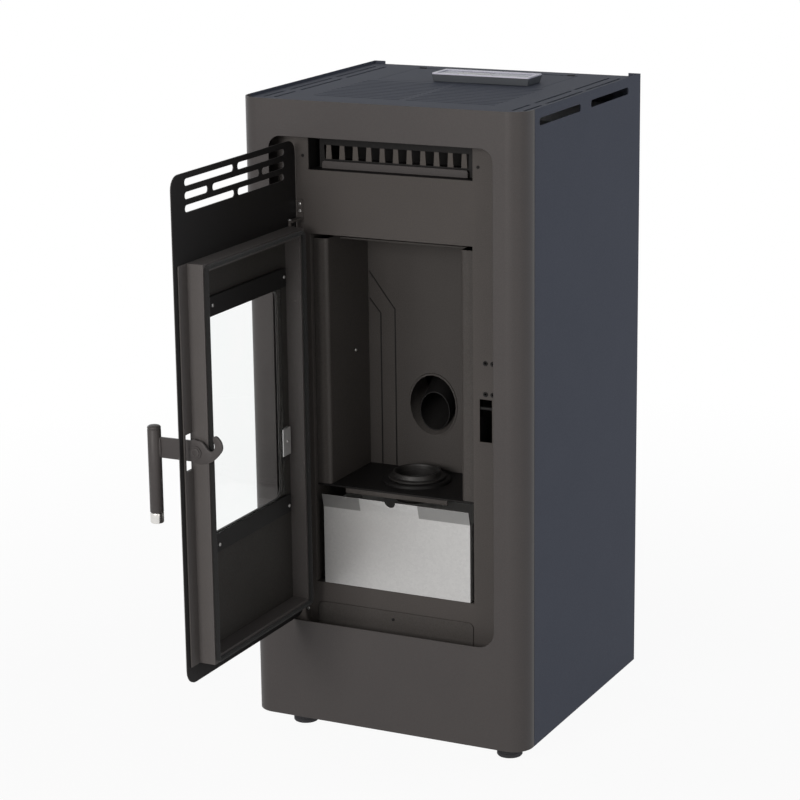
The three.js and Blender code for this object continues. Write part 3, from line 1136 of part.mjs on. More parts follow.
// the inlet and the switch share one moulded unit
function buildPowerInlet() {
  const rear = BACK_PANEL_Y + SHEET + FIT + SHEET;
  const inletWell = cut(
    block(INLET_X - 12, INLET_X + 12, rear - 16, rear + 1, INLET_Z - 8, INLET_Z + 8),
    ...[-7, 0, 7].map((dx) => block(INLET_X + dx - 1, INLET_X + dx + 1, rear - 17, rear - 4, INLET_Z - 3,
      INLET_Z + 3)));
  const wellX = SWITCH_WIDTH / 2 - 2;
  const wellZ = SWITCH_HEIGHT / 2 - 2;
  const switchWell = block(SWITCH_X - wellX, SWITCH_X + wellX, rear - 10, rear + 1, SWITCH_Z - wellZ,
    SWITCH_Z + wellZ);
  const bridge = block(SWITCH_X - SWITCH_WIDTH / 2, SWITCH_X + SWITCH_WIDTH / 2, rear - SHEET, rear, INLET_Z,
    SWITCH_Z);
  return cut(join(buildSocket(INLET_X, INLET_Z, INLET_WIDTH, INLET_HEIGHT, 22),
    buildSocket(SWITCH_X, SWITCH_Z, SWITCH_WIDTH, SWITCH_HEIGHT, 18), bridge), inletWell, switchWell);
}

const ROCKER_Y = BACK_PANEL_Y + SHEET + FIT + SHEET - 3;

function buildRocker() {
  const halfLength = SWITCH_WIDTH / 2 - 3.2;
  const halfWidth = SWITCH_HEIGHT / 2 - 2 - FIT;
  const body = polygon([
    [-halfLength, -1], [halfLength, -1], [halfLength, 3.2], [0, 1.6], [-halfLength, 3.2],
  ]);
  const rocker = extrude(body, 2 * halfWidth).translate(0, 0, -halfWidth);
  return join(rocker, rodZ(0, 0, -halfWidth, halfWidth, 2.4, 12));
}

addMesh(stove, 'control_board', buildControlBoard(), boardGreen);
addMesh(stove, 'power_inlet', buildPowerInlet(), blackPlastic);
const rocker = addMesh(stove, 'power_switch_rocker', buildRocker(), blackPlastic);
rocker.position.set(SWITCH_X, ROCKER_Y, SWITCH_Z);
rocker.rotation.z = -ROCKER_TILT;

// ---- latch striker and hinge brackets on the inner front plate ------------------------------------------
function buildStriker() {
  const y0 = PLATE_BACK + FIT;
  const z0 = HOOK_Z - STRIKER_EAR_HEIGHT / 2;
  const z1 = z0 + STRIKER_EAR_HEIGHT;
  const y1 = y0 + STRIKER_EAR_DEPTH;
  return join(
    block(STRIKER_EAR_LEFT, STRIKER_EAR_LEFT + STRIKER_EAR, y0, y1, z0, z1),
    block(STRIKER_EAR_RIGHT - STRIKER_EAR, STRIKER_EAR_RIGHT, y0, y1, z0, z1),
    rodX(STRIKER_EAR_LEFT + 1, STRIKER_EAR_RIGHT - 1, HOOK_Y, HOOK_Z, STRIKER_RADIUS, 12));
}

const BRACKET_LEFT = PIVOT_X - PIN_RADIUS - 0.6;

function buildHingeBracket(side) {
  // side 1 is the upper bracket, whose pin points down; side -1 is the lower one
  const x1 = BRACKET_LEFT + BRACKET_WIDTH;
  const near = FRAME_Y + 0.1;
  const far = PLATE_Y - FIT;
  const tab = side > 0 ? FRAME_TOP : FRAME_BOTTOM;
  const arm = tab + side * (2 * BRACKET_THICKNESS + FIT);
  const armEnds = [arm, arm + side * BRACKET_THICKNESS].sort((a, b) => a - b);
  const leafEnds = [arm, arm + side * BRACKET_LEAF].sort((a, b) => a - b);
  const pinEnds = [arm + side * 1, tab - side * (HINGE_TAB + 8)].sort((a, b) => a - b);
  const collarEnds = [arm + side * 1, tab + side * FIT].sort((a, b) => a - b);
  const armOutline = polygon([
    [BRACKET_LEFT + BRACKET_CHAMFER, near], [x1, near], [x1, far], [BRACKET_LEFT, far],
    [BRACKET_LEFT, near + BRACKET_CHAMFER],
  ]);
  return join(
    topPlate(armOutline, armEnds[0], BRACKET_THICKNESS),
    block(BRACKET_LEFT, x1, far - SHEET, far, ...leafEnds),
    rodZ(PIVOT_X, PIVOT_Y, ...pinEnds, PIN_RADIUS, 12),
    rodZ(PIVOT_X, PIVOT_Y, ...collarEnds, PIN_RADIUS + 0.5, 12));
}

addMesh(stove, 'latch_striker', buildStriker(), rawSteel);
addMesh(stove, 'hinge_bracket_upper', buildHingeBracket(1), rawSteel);
addMesh(stove, 'hinge_bracket_lower', buildHingeBracket(-1), rawSteel);

// ---- door, drawn closed and swung open about its pins ---------------------------------------------------
const door = new THREE.Group();
door.position.set(PIVOT_X, PIVOT_Y, 0);
door.rotation.z = DOOR_OPEN;
stove.add(door);

function addDoorMesh(name, geometry, material) {
  return addMesh(door, name, geometry.translate(-PIVOT_X, -PIVOT_Y, 0), material);
}

function buildLeaf() {
  const leaf = roundedRect(new THREE.Shape(), LEAF_LEFT, LEAF_RIGHT, LEAF_BOTTOM, LEAF_TOP,
    LEAF_RADIUS_BOTTOM, LEAF_RADIUS_TOP);
  leaf.holes.push(roundedRect(new THREE.Path(), WINDOW_LEFT, WINDOW_RIGHT, WINDOW_BOTTOM, WINDOW_TOP,
    WINDOW_RADIUS, WINDOW_RADIUS));
  for (const { below, runs } of VENT_ROWS) {
    const z = LEAF_TOP - below;
    for (const [x0, x1] of runs) {
      leaf.holes.push(roundedRect(new THREE.Path(), x0, x1, z, z + VENT_HEIGHT, VENT_RADIUS, VENT_RADIUS));
    }
  }
  leaf.holes.push(rect(new THREE.Path(), ARM_SLOT_LEFT, ARM_SLOT_RIGHT, ARM_SLOT_BOTTOM, ARM_SLOT_TOP));
  return frontPlate(leaf, 0, SHEET);
}

function buildDoorFrame() {
  const outer = block(-FRAME_X, FRAME_X, FRAME_Y, FRAME_DEPTH, FRAME_BOTTOM, FRAME_TOP);
  const inner = block(-FRAME_X + FRAME_BAND, FRAME_X - FRAME_BAND, 0, 2 * FRAME_DEPTH,
    FRAME_BOTTOM + FRAME_BAND, FRAME_TOP - FRAME_BAND);
  const wall = SHEET;
  const grooveOuter = block(-FRAME_X + wall, FRAME_X - wall, 0, FRAME_DEPTH - wall, FRAME_BOTTOM + wall,
    FRAME_TOP - wall);
  const grooveInner = block(-FRAME_X + FRAME_BAND - wall, FRAME_X - FRAME_BAND + wall, -1, FRAME_DEPTH,
    FRAME_BOTTOM + FRAME_BAND - wall, FRAME_TOP - FRAME_BAND + wall);
  const groove = cut(grooveOuter, grooveInner);
  const tabX0 = PIVOT_X - PIN_RADIUS - 2;
  const tabs = [FRAME_BOTTOM, FRAME_TOP - HINGE_TAB].map((z) => block(tabX0, -FRAME_X + 1, FRAME_Y,
    FRAME_Y + 9, z, z + HINGE_TAB));
  const flange = block(FRAME_X - 1, FRAME_FLANGE, FRAME_Y, FRAME_Y + SHEET, FRAME_BOTTOM, FRAME_TOP);
  const armSlot = block(FRAME_X, ARM_SLOT_RIGHT, 0, FRAME_DEPTH, ARM_SLOT_BOTTOM, ARM_SLOT_TOP);
  const pinHole = rodZ(PIVOT_X, PIVOT_Y, FRAME_BOTTOM - 1, FRAME_TOP + 1, PIN_RADIUS + PIN_CLEARANCE, 12);
  return cut(join(cut(cut(outer, inner), groove), flange, ...tabs), armSlot, pinHole);
}

const PANEL_X = FRAME_X - FRAME_BAND - FIT;
const GLASS_Y = FRAME_Y + SHEET + FIT;
const CLAMP_Y = GLASS_Y + GLASS_THICKNESS + FIT;

function buildInnerPanel() {
  const panel = rect(new THREE.Shape(), -PANEL_X, PANEL_X, FRAME_BOTTOM + FRAME_BAND + FIT,
    FRAME_TOP - FRAME_BAND - FIT);
  panel.holes.push(roundedRect(new THREE.Path(), WINDOW_LEFT, WINDOW_RIGHT, WINDOW_BOTTOM, WINDOW_TOP,
    WINDOW_RADIUS, WINDOW_RADIUS));
  return frontPlate(panel, FRAME_Y, SHEET);
}

function buildDoorGlass() {
  return block(WINDOW_LEFT - GLASS_MARGIN, WINDOW_RIGHT + GLASS_MARGIN, GLASS_Y, GLASS_Y + GLASS_THICKNESS,
    WINDOW_BOTTOM - GLASS_MARGIN, WINDOW_TOP + GLASS_MARGIN);
}

// a bar over the glass edge: its flange laps the glass and its foot stands on the inner panel beside it
function buildClampBar(side) {
  const edge = side > 0 ? WINDOW_TOP : WINDOW_BOTTOM;
  const flangeEnds = [edge, edge + side * CLAMP_HEIGHT].sort((a, b) => a - b);
  const footEnds = [edge + side * (CLAMP_LAP + FIT), edge + side * CLAMP_HEIGHT].sort((a, b) => a - b);
  return join(
    block(CLAMP_LEFT, CLAMP_RIGHT, CLAMP_Y, CLAMP_Y + SHEET, ...flangeEnds),
    block(CLAMP_LEFT, CLAMP_RIGHT, GLASS_Y, CLAMP_Y + SHEET / 2, ...footEnds));
}

function buildClip() {
  const left = WINDOW_LEFT - CLIP_WIDTH;
  return join(
    block(left, WINDOW_LEFT, CLAMP_Y, CLAMP_Y + SHEET, CLIP_BOTTOM, CLIP_TOP),
    block(left, WINDOW_LEFT - GLASS_MARGIN - FIT, GLASS_Y, CLAMP_Y + SHEET / 2, CLIP_BOTTOM, CLIP_TOP));
}

function buildGasket() {
  const y0 = FRAME_DEPTH + FIT;
  const y1 = PLATE_Y - FIT;
  const rim = (FRAME_BAND - GASKET_WIDTH) / 2;
  const outer = block(-FRAME_X + rim, FRAME_X - rim, y0, y1, FRAME_BOTTOM + rim, FRAME_TOP - rim);
  const far = rim + GASKET_WIDTH;
  return cut(outer, block(-FRAME_X + far, FRAME_X - far, 0, 2 * y1, FRAME_BOTTOM + far, FRAME_TOP - far));
}

addDoorMesh('door_leaf', buildLeaf(), warmCoat);
addDoorMesh('door_frame', buildDoorFrame(), warmCoat);
addDoorMesh('door_inner_panel', buildInnerPanel(), blackSteel);
addDoorMesh('door_glass', buildDoorGlass(), ceramicGlass);
addDoorMesh('glass_clamp_upper', buildClampBar(1), blackSteel);
addDoorMesh('glass_clamp_lower', buildClampBar(-1), blackSteel);
addDoorMesh('glass_clip', buildClip(), rawSteel);
addDoorMesh('door_gasket', buildGasket(), ropeSeal);

// ---- latch lever and handle -----------------------------------------------------------------------------
function buildLever() {
  const lever = new THREE.Shape();
  const end = HANDLE_Y + HANDLE_RADIUS + FIT;
  const rise = HOOK_Z + 12;
  lever.moveTo(end, LEVER_BOTTOM);
  lever.lineTo(HOOK_Y - 9, LEVER_BOTTOM);
  lever.bezierCurveTo(HOOK_Y + 4, LEVER_BOTTOM, HOOK_Y + 16, LEVER_BOTTOM + 8, HOOK_Y + 16, HOOK_Z - 5);
  lever.bezierCurveTo(HOOK_Y + 16, HOOK_Z + 5, HOOK_Y + 9, rise, HOOK_Y + 5, rise);
  lever.bezierCurveTo(HOOK_Y + 2, rise, HOOK_Y + 1.5, HOOK_Z + 8, HOOK_Y + HOOK_RADIUS, HOOK_Z + 4);
  lever.lineTo(HOOK_Y + HOOK_RADIUS, HOOK_Z);
  lever.absarc(HOOK_Y, HOOK_Z, HOOK_RADIUS, 0, -Math.PI, true);
  lever.bezierCurveTo(HOOK_Y - 7, HOOK_Z + 3, LEVER_PIVOT_Y + 16, LEVER_TOP, LEVER_PIVOT_Y + 5, LEVER_TOP);
  lever.lineTo(end, LEVER_TOP);
  lever.closePath();
  const hole = new THREE.Path();
  hole.absarc(LEVER_PIVOT_Y, LEVER_PIVOT_Z, BOLT_RADIUS + FIT, 0, 2 * Math.PI, false);
  lever.holes.push(hole);
  return sidePlate(lever, LEVER_X, LEVER_THICKNESS, 5);
}

function buildPivotBolt() {
  const seat = LEVER_X + LEVER_THICKNESS + FIT;
  const wall = FRAME_X + FIT;
  const shaft = rodX(wall, seat + 1, LEVER_PIVOT_Y, LEVER_PIVOT_Z, BOLT_RADIUS, 16);
  const head = rodX(seat, seat + BOLT_HEAD, LEVER_PIVOT_Y, LEVER_PIVOT_Z, BOLT_HEAD_RADIUS, 20);
  const spacer = rodX(wall, LEVER_X - FIT, LEVER_PIVOT_Y, LEVER_PIVOT_Z, BOLT_RADIUS + 4, 16);
  return join(shaft, head, spacer);
}

function buildGrip() {
  const r = HANDLE_RADIUS;
  const length = HANDLE_TOP - HANDLE_BOTTOM - HANDLE_CAP - FIT;
  return turned([
    [0, 0], [r, 0], [r, length - 3], [r - 1, length - 1.4], [r - 4, length - 0.3], [0, length],
  ], LEVER_X + LEVER_THICKNESS / 2, HANDLE_Y, HANDLE_BOTTOM + HANDLE_CAP + FIT, 20);
}

function buildGripCap() {
  const r = HANDLE_RADIUS;
  return turned([
    [0, 0], [r - 2.5, 0], [r, 2.5], [r, HANDLE_CAP], [0, HANDLE_CAP],
  ], LEVER_X + LEVER_THICKNESS / 2, HANDLE_Y, HANDLE_BOTTOM, 20);
}

addDoorMesh('latch_pivot_bolt', buildPivotBolt(), rawSteel);
addDoorMesh('latch_lever', buildLever(), warmCoat);
addDoorMesh('handle_grip', buildGrip(), warmCoat);
addDoorMesh('handle_cap', buildGripCap(), brightSteel);

export default stove;
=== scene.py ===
# %% [markdown]
# # A pellet stove, dressed in Blender
# The sheet-metal body comes in as a finished frame of named solids. This lesson gives every one of those
# solids its finish, and models by hand the pieces where the eye looks for more: the handle, the screws,
# the seal, the cup that the pellets burn in, the control panel, the feet and the pipes.

import math

import bmesh
import bpy
from mathutils import Matrix, Vector


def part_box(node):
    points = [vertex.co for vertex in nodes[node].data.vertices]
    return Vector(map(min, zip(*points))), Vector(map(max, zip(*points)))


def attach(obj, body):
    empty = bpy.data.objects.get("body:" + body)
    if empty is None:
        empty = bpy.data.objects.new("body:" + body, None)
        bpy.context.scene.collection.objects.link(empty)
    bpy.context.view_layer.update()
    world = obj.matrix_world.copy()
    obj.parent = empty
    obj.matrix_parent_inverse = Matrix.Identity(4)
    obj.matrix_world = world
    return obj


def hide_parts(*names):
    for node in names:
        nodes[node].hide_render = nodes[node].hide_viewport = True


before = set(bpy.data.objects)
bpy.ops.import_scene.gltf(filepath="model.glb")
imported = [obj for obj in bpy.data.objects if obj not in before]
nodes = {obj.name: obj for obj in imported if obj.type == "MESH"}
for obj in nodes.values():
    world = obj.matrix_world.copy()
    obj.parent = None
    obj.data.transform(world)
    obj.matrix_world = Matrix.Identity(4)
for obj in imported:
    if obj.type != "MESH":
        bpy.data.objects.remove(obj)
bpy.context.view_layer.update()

# %% [markdown]
# ## Places in millimetres
# A stove maker measures from the cabinet's front face and from its bottom edge. The frame measures in metres
# from the floor, so one small function turns the maker's millimetres into a place in the scene. A second one
# takes sizes on the shut door and swings them to where the door stands open.

# %% Places
CABINET_SHIFT_Y = -87.5      # the frame's origin lies this far behind the front face
FOOT_HEIGHT = 34
DOOR_SWING_X = -158          # shut (x, y) becomes open (y + this, that - x)
DOOR_SWING_Y = -148


def place(x, y, z):
    return Vector((x, y + CABINET_SHIFT_Y, z + FOOT_HEIGHT)) / 1000


def door_place(x, y, z):
    return place(y + DOOR_SWING_X, DOOR_SWING_Y - x, z)


print("front face at y =", place(0, 0, 0).y, "and the door's hinge line at", door_place(-153, 5, 0))

# %% [markdown]
# ## Camera
# The stove was photographed with a long lens from above its right front corner. The camera stands where the
# upright edges, the top and the door agree on one view point, so the shapes fall where the photo has them.

# %% Camera
CAMERA_PLACE = (1.7097, -3.4885, 1.5564)
CAMERA_TURN = math.radians(26.291)
CAMERA_TILT = math.radians(14.646)
CAMERA_ROLL = math.radians(-0.720)
across = Vector((math.cos(CAMERA_TURN), math.sin(CAMERA_TURN), 0))
ahead = Vector((-math.sin(CAMERA_TURN) * math.cos(CAMERA_TILT), math.cos(CAMERA_TURN) * math.cos(CAMERA_TILT),
                -math.sin(CAMERA_TILT)))
above = across.cross(ahead)
rolled_across = across * math.cos(CAMERA_ROLL) + above * math.sin(CAMERA_ROLL)
rolled_above = above * math.cos(CAMERA_ROLL) - across * math.sin(CAMERA_ROLL)

lens = bpy.data.cameras.new("long_lens")
lens.lens = 117.5
lens.sensor_width = 36
lens.shift_x = 0.00125
lens.shift_y = 0.004375
lens.clip_end = 100
camera = bpy.data.objects.new("camera", lens)
bpy.context.scene.collection.objects.link(camera)
turn = Matrix((rolled_across, rolled_above, -ahead)).transposed().to_4x4()
camera.matrix_world = Matrix.Translation(CAMERA_PLACE) @ turn
bpy.context.scene.camera = camera
bpy.context.scene.view_settings.view_transform = "Standard"
print("camera", CAMERA_PLACE, "lens", lens.lens, "mm")

# %% [markdown]
# ## Hands for modelling
# Every new piece is modelled with the same tools a person uses in the viewport: add a primitive, go into
# edit mode, pick faces or edges, extrude or bevel them, and apply modifiers. The few helpers here are those
# habits: deselect all before starting, pick by place, and set a finished piece down at the origin.


# %% Hands
def clear():
    if bpy.context.object and bpy.context.object.mode != "OBJECT":
        bpy.ops.object.mode_set(mode="OBJECT")
    bpy.ops.object.select_all(action="DESELECT")


def name_it(name):
    made = bpy.context.object
    made.name = name
    made.data.name = name
    return made


def choose(piece):
    clear()
    piece.select_set(True)
    bpy.context.view_layer.objects.active = piece
    return piece


def settle(piece):
    """The piece's place goes into its mesh, and its object comes back to the origin."""
    choose(piece)
    bpy.ops.object.transform_apply(location=True, rotation=True, scale=True)
    return piece


def pick(piece, kind, test):
    """In edit mode, selects the faces, edges or verts whose middle passes the test."""
    bpy.ops.mesh.select_all(action="DESELECT")
    shape = bmesh.from_edit_mesh(piece.data)
    shape.normal_update()
    for part in getattr(shape, kind):
        middle = part.co if kind == "verts" else sum((v.co for v in part.verts), Vector()) / len(part.verts)
        if test(part, middle):
            part.select_set(True)
    shape.select_flush_mode()
    bmesh.update_edit_mesh(piece.data)


def smooth(piece, angle=35):
    choose(piece)
    bpy.ops.object.shade_smooth_by_angle(angle=math.radians(angle))
    return piece


def bar(name, low, high, rounding=0.0, segments=3):
    """A block between two corners, with its edges rounded off."""
    clear()
    low, high = Vector(low), Vector(high)
    bpy.ops.mesh.primitive_cube_add(size=1, location=(low + high) / 2)
    piece = name_it(name)
    piece.scale = high - low
    settle(piece)
    if rounding:
        soften = piece.modifiers.new("soften", "BEVEL")
        soften.width = rounding / 1000
        soften.segments = segments
        bpy.ops.object.modifier_apply(modifier="soften")
    return piece


print("hands ready")

# %% [markdown]
# ## Turning
# Round pieces, such as the handle, the feet and the pipes, are drawn as half an outline and spun round their
# middle line, as on a lathe. The outline is drawn point by point with extrude, so it can be read as a list of
# radius and height. After the spin the doubled points are merged and the faces are turned outwards.


# %% Turning
def turned(name, outline, foot, axis=(0, 0, 1), steps=48, angle=40):
    """outline is [(radius, height), ...] in mm, foot is the place of height 0, axis points up the heights."""
    clear()
    axis = Vector(axis).normalized()
    side = axis.orthogonal().normalized()
    foot = Vector(foot)
    points = [foot + side * r / 1000 + axis * h / 1000 for r, h in outline]
    bpy.ops.mesh.primitive_plane_add(size=0.001, location=points[0])
    piece = name_it(name)
    bpy.ops.object.mode_set(mode="EDIT")
    bpy.ops.mesh.select_all(action="SELECT")
    bpy.ops.mesh.merge(type="CENTER")
    for here, there in zip(points, points[1:]):
        bpy.ops.mesh.extrude_region_move(TRANSFORM_OT_translate={"value": there - here})
    bpy.ops.mesh.select_all(action="SELECT")
    bpy.ops.mesh.spin(steps=steps, angle=2 * math.pi, center=foot, axis=axis)
    bpy.ops.mesh.select_all(action="SELECT")
    bpy.ops.mesh.remove_doubles(threshold=1e-6)
    bpy.ops.mesh.normals_make_consistent(inside=False)
    bpy.ops.object.mode_set(mode="OBJECT")
    settle(piece)
    return smooth(piece, angle)


def plate(name, low_x, high_x, low_y, high_y, z, thickness, radius, segments=6):
    """A level plate with round corners, in metres; it is turned or moved afterwards if it isn't level."""
    clear()
    bpy.ops.mesh.primitive_plane_add(size=1, location=((low_x + high_x) / 2, (low_y + high_y) / 2, z))
    piece = name_it(name)
    piece.scale = (high_x - low_x, high_y - low_y, 1)
    settle(piece)
    bpy.ops.object.mode_set(mode="EDIT")
    bpy.ops.mesh.select_all(action="SELECT")
    bpy.ops.mesh.bevel(affect="VERTICES", offset=radius, offset_type="OFFSET", segments=segments)
    bpy.ops.mesh.select_all(action="SELECT")
    bpy.ops.mesh.extrude_region_move(TRANSFORM_OT_translate={"value": (0, 0, thickness)})
    bpy.ops.mesh.select_all(action="SELECT")
    bpy.ops.mesh.normals_make_consistent(inside=False)
    bpy.ops.object.mode_set(mode="OBJECT")
    return piece


def round_edges(piece, width, segments=2, angle=40):
    choose(piece)
    soften = piece.modifiers.new("soften", "BEVEL")
    soften.width = width / 1000
    soften.segments = segments
    soften.limit_method = "ANGLE"
    soften.angle_limit = math.radians(angle)
    bpy.ops.object.modifier_apply(modifier="soften")
    return smooth(piece, angle)


def cut_away(piece, cutter):
    """Takes the cutter's shape out of the piece and throws the cutter away."""
    choose(piece)
    hole = piece.modifiers.new("hole", "BOOLEAN")
    hole.operation = "DIFFERENCE"
    hole.solver = "EXACT"
    hole.object = cutter
    bpy.ops.object.modifier_apply(modifier="hole")
    bpy.data.objects.remove(cutter)
    return piece


def curved(points, steps=5):
    """A smooth closed line through a few points, each pair joined by a Catmull-Rom curve."""
    line = []
    for k in range(len(points)):
        a, b, c, d = (Vector(points[(k + step) % len(points)]) for step in (-1, 0, 1, 2))
        for n in range(steps):
            t = n / steps
            line.append(0.5 * (2 * b + (c - a) * t + (2 * a - 5 * b + 4 * c - d) * t ** 2
                               + (3 * b - a - 3 * c + d) * t ** 3))
    return line


def sheet_part(name, points, thickness, rounding):
    """A flat part cut from plate: its outline is drawn with extrude, filled, and extruded by thickness."""
    clear()
    bpy.ops.mesh.primitive_plane_add(size=0.001, location=points[0])
    piece = name_it(name)
    bpy.ops.object.mode_set(mode="EDIT")
    bpy.ops.mesh.select_all(action="SELECT")
    bpy.ops.mesh.merge(type="CENTER")
    for here, there in zip(points, points[1:]):
        bpy.ops.mesh.extrude_region_move(TRANSFORM_OT_translate={"value": there - here})
    bpy.ops.mesh.select_all(action="SELECT")
    bpy.ops.mesh.edge_face_add()
    bpy.ops.mesh.extrude_region_move(TRANSFORM_OT_translate={"value": thickness})
    bpy.ops.mesh.select_all(action="SELECT")
    bpy.ops.mesh.normals_make_consistent(inside=False)
    bpy.ops.object.mode_set(mode="OBJECT")
    settle(piece)
    return round_edges(piece, rounding, 2, 40)


print("lathe and plates ready")

# %% [markdown]
# ## Colours and nodes
# Colours are written as the hex values a paint card would give, and one function turns them into the linear
# numbers that the shader wants. The other helpers each add one node, set it up and link it, and hand back its
# output, so each finish below reads as a short list of what its surface is made of.

# %% Colours and nodes
MM = 1000                    # pattern repeats per metre for a feature of one millimetre
MIX_A, MIX_B, MIX_COLOUR = 6, 7, 2


def linear(code):
    values = [int(code[i:i + 2], 16) / 255 for i in (1, 3, 5)]
    return [v / 12.92 if v <= 0.04045 else ((v + 0.055) / 1.055) ** 2.4 for v in values] + [1]


def join(tree, output, socket):
    """An output is written as (node, its name or number)."""
    node, name = output
    tree.links.new(node.outputs[name], socket)


def add(tree, kind, settings=(), inputs=()):
    """Adds a node; an input is a plain value, or an output to link."""
    made = tree.nodes.new(kind)
    for name, value in dict(settings).items():
        setattr(made, name, value)
    for name, value in dict(inputs).items():
        if isinstance(value, tuple) and isinstance(value[0], bpy.types.Node):
            join(tree, value, made.inputs[name])
        else:
            made.inputs[name].default_value = value
    return made


def start(name, **shader):
    """A new material with one Principled shader and the object's own coordinates."""
    material = bpy.data.materials.new(name)
    material.use_nodes = True
    tree = material.node_tree
    surface = tree.nodes["Principled BSDF"]
    for socket, value in shader.items():
        surface.inputs[socket.replace("_", " ")].default_value = value
    where = (add(tree, "ShaderNodeTexCoord"), "Object")
    return material, tree, surface, where


def calculate(tree, operation, *values):
    return add(tree, "ShaderNodeMath", {"operation": operation}, enumerate(values)), 0


def noise(tree, where, size_mm, detail, **more):
    return add(tree, "ShaderNodeTexNoise", {},
               {"Vector": where, "Scale": MM / size_mm, "Detail": detail, **more}), "Fac"


def stretched(tree, where, scale):
    return add(tree, "ShaderNodeMapping", {}, {"Vector": where, "Scale": scale}), "Vector"


def spread(tree, value, low, high, to_low, to_high):
    ends = {"From Min": low, "From Max": high, "To Min": to_low, "To Max": to_high}
    return add(tree, "ShaderNodeMapRange", {"clamp": True}, {"Value": value, **ends}), "Result"


def set_colour(tree, surface, factor, first, second):
    """Mixes two colours, each a hex value or an output, into the surface's colour."""
    first, second = (linear(colour) if isinstance(colour, str) else colour for colour in (first, second))
    mixed = add(tree, "ShaderNodeMix", {"data_type": "RGBA"}, {0: factor, MIX_A: first, MIX_B: second})
    join(tree, (mixed, MIX_COLOUR), surface.inputs["Base Color"])
    return mixed, MIX_COLOUR


def set_gloss(tree, surface, value, low, high, roughness_at_low, roughness_at_high):
    gloss = spread(tree, value, low, high, roughness_at_low, roughness_at_high)
    join(tree, gloss, surface.inputs["Roughness"])


def set_bump(tree, surface, height, strength, depth_mm, settings=()):
    bump = add(tree, "ShaderNodeBump", settings,
               {"Height": height, "Strength": strength, "Distance": depth_mm / 1000})
    join(tree, (bump, "Normal"), surface.inputs["Normal"])


def inside_box(tree, where, limits):
    """1 where the place lies inside the limits, {"X": (low, high), ...} in metres, and 0 outside."""
    split = add(tree, "ShaderNodeSeparateXYZ", {}, {"Vector": where})
    inside = None
    for axis, (low, high) in limits.items():
        away = calculate(tree, "ABSOLUTE", calculate(tree, "SUBTRACT", (split, axis), (low + high) / 2))
        near = calculate(tree, "LESS_THAN", away, (high - low) / 2)
        inside = calculate(tree, "MULTIPLY", inside, near) if inside else near
    return inside


def limits_on(node, low, high, axes):
    """The box between two places, in the coordinates of one of the frame's solids."""
    back = nodes[node].matrix_world.inverted()
    low, high = back @ Vector(low), back @ Vector(high)
    return {axis: tuple(sorted((low["XYZ".index(axis)], high["XYZ".index(axis)]))) for axis in axes}


print("dark grey", [round(c, 4) for c in linear("#4B4745")])

# %% [markdown]
# ## Powder coat
# The body is folded steel sheet, sprayed with powder and baked. Baking leaves a fine orange peel about a
# millimetre across and a satin gloss that wavers a little, with finer grit of pigment on top. So the coat is
# one colour with a slow drift, a bump from two sizes of noise and a roughness that varies with the peel.
# The same recipe, drier and darker, gives the heat-proof paint of the fire side. On a few sheets a mask lays
# painted shade: the rest turns black, and a box on the object's own coordinates says where the grey stays.


# %% Powder coat
# the black of the heat-proof paint, and also the black that the masks in painted() lay on as painted shade
BLACK_PAINT_AND_SHADE = "#171616"


def painted(name, light, dark, roughness, peel_mm, peel_depth, specular, limits=None):
    """With limits, the colour stays inside them and the rest of the sheet turns black as painted shade."""
    material, tree, surface, where = start(name, Specular_IOR_Level=specular)
    drift = noise(tree, where, 90, 3.0)
    peel = noise(tree, where, peel_mm, 2.0, Roughness=0.55)
    grit = add(tree, "ShaderNodeTexVoronoi", {}, {"Vector": where, "Scale": MM / (peel_mm * 0.45)})
    speckle = calculate(tree, "MULTIPLY_ADD", peel, 3.0, drift)
    coat = set_colour(tree, surface, spread(tree, speckle, 1.4, 2.6, 0.0, 1.0), dark, light)
    # painted shade: outside the limits the sheet is coloured black
    if limits:
        set_colour(tree, surface, inside_box(tree, where, limits), BLACK_PAINT_AND_SHADE, coat)
    set_gloss(tree, surface, peel, 0.3, 0.7, roughness + 0.02, roughness - 0.02)
    height = calculate(tree, "MULTIPLY_ADD", (grit, "Distance"), 0.35, peel)
    set_bump(tree, surface, height, 0.35, peel_depth)
    return material


# powder coat, sprayed and baked: satin, warm dark grey on the front, with a fine orange peel
warm_coat = painted("powder_coat_warm_grey", "#494645", "#444141", 0.46, 1.4, 0.06, 0.20)
# the same coat on the door frame, a little lighter: painted light, for the light on the frame's face
frame_coat = painted("powder_coat_warm_grey_painted_light", "#545150", "#4E4B4A", 0.46, 1.4, 0.06, 0.22)
# the same coat on the door leaf; its inner half is black, a painted shade for the face turned away from the
# lamps
leaf_low, leaf_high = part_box("door_leaf")
leaf_middle = (leaf_low.x + leaf_high.x) / 2
leaf_coat = painted("powder_coat_painted_shade_inside", "#494645", "#444141", 0.46, 1.4, 0.06, 0.20,
                    limits_on("door_leaf", (leaf_middle - 0.1, 0, 0), (leaf_middle, 0, 0), "X"))
# the air outlet is black round the grey faces of its teeth: painted shade for the shadow under the slot's top
# edge and in the gaps
TEETH_HALF, TEETH_BOTTOM, TEETH_TOP = 117.6, 884, 905
comb_coat = painted("outlet_painted_shade_round_grey_teeth", "#524E4B", "#4C4845", 0.50, 1.4, 0.06, 0.15,
                    limits_on("air_outlet_comb", place(-TEETH_HALF, 0, TEETH_BOTTOM),
                              place(TEETH_HALF, 0, TEETH_TOP), "XZ"))
# the deck's top is black as painted shade, for the firebox's shade on it; the flange folded down at its front
# is grey
FLANGE_HALF, FLANGE_TOP = 87.2, 372.6
deck_coat = painted("deck_painted_shade_with_grey_flange", "#4A4745", "#3F3C3A", 0.50, 1.4, 0.06, 0.15,
                    limits_on("burn_pot_deck", place(-FLANGE_HALF, 0, 300),
                              place(FLANGE_HALF, 0, FLANGE_TOP), "XZ"))
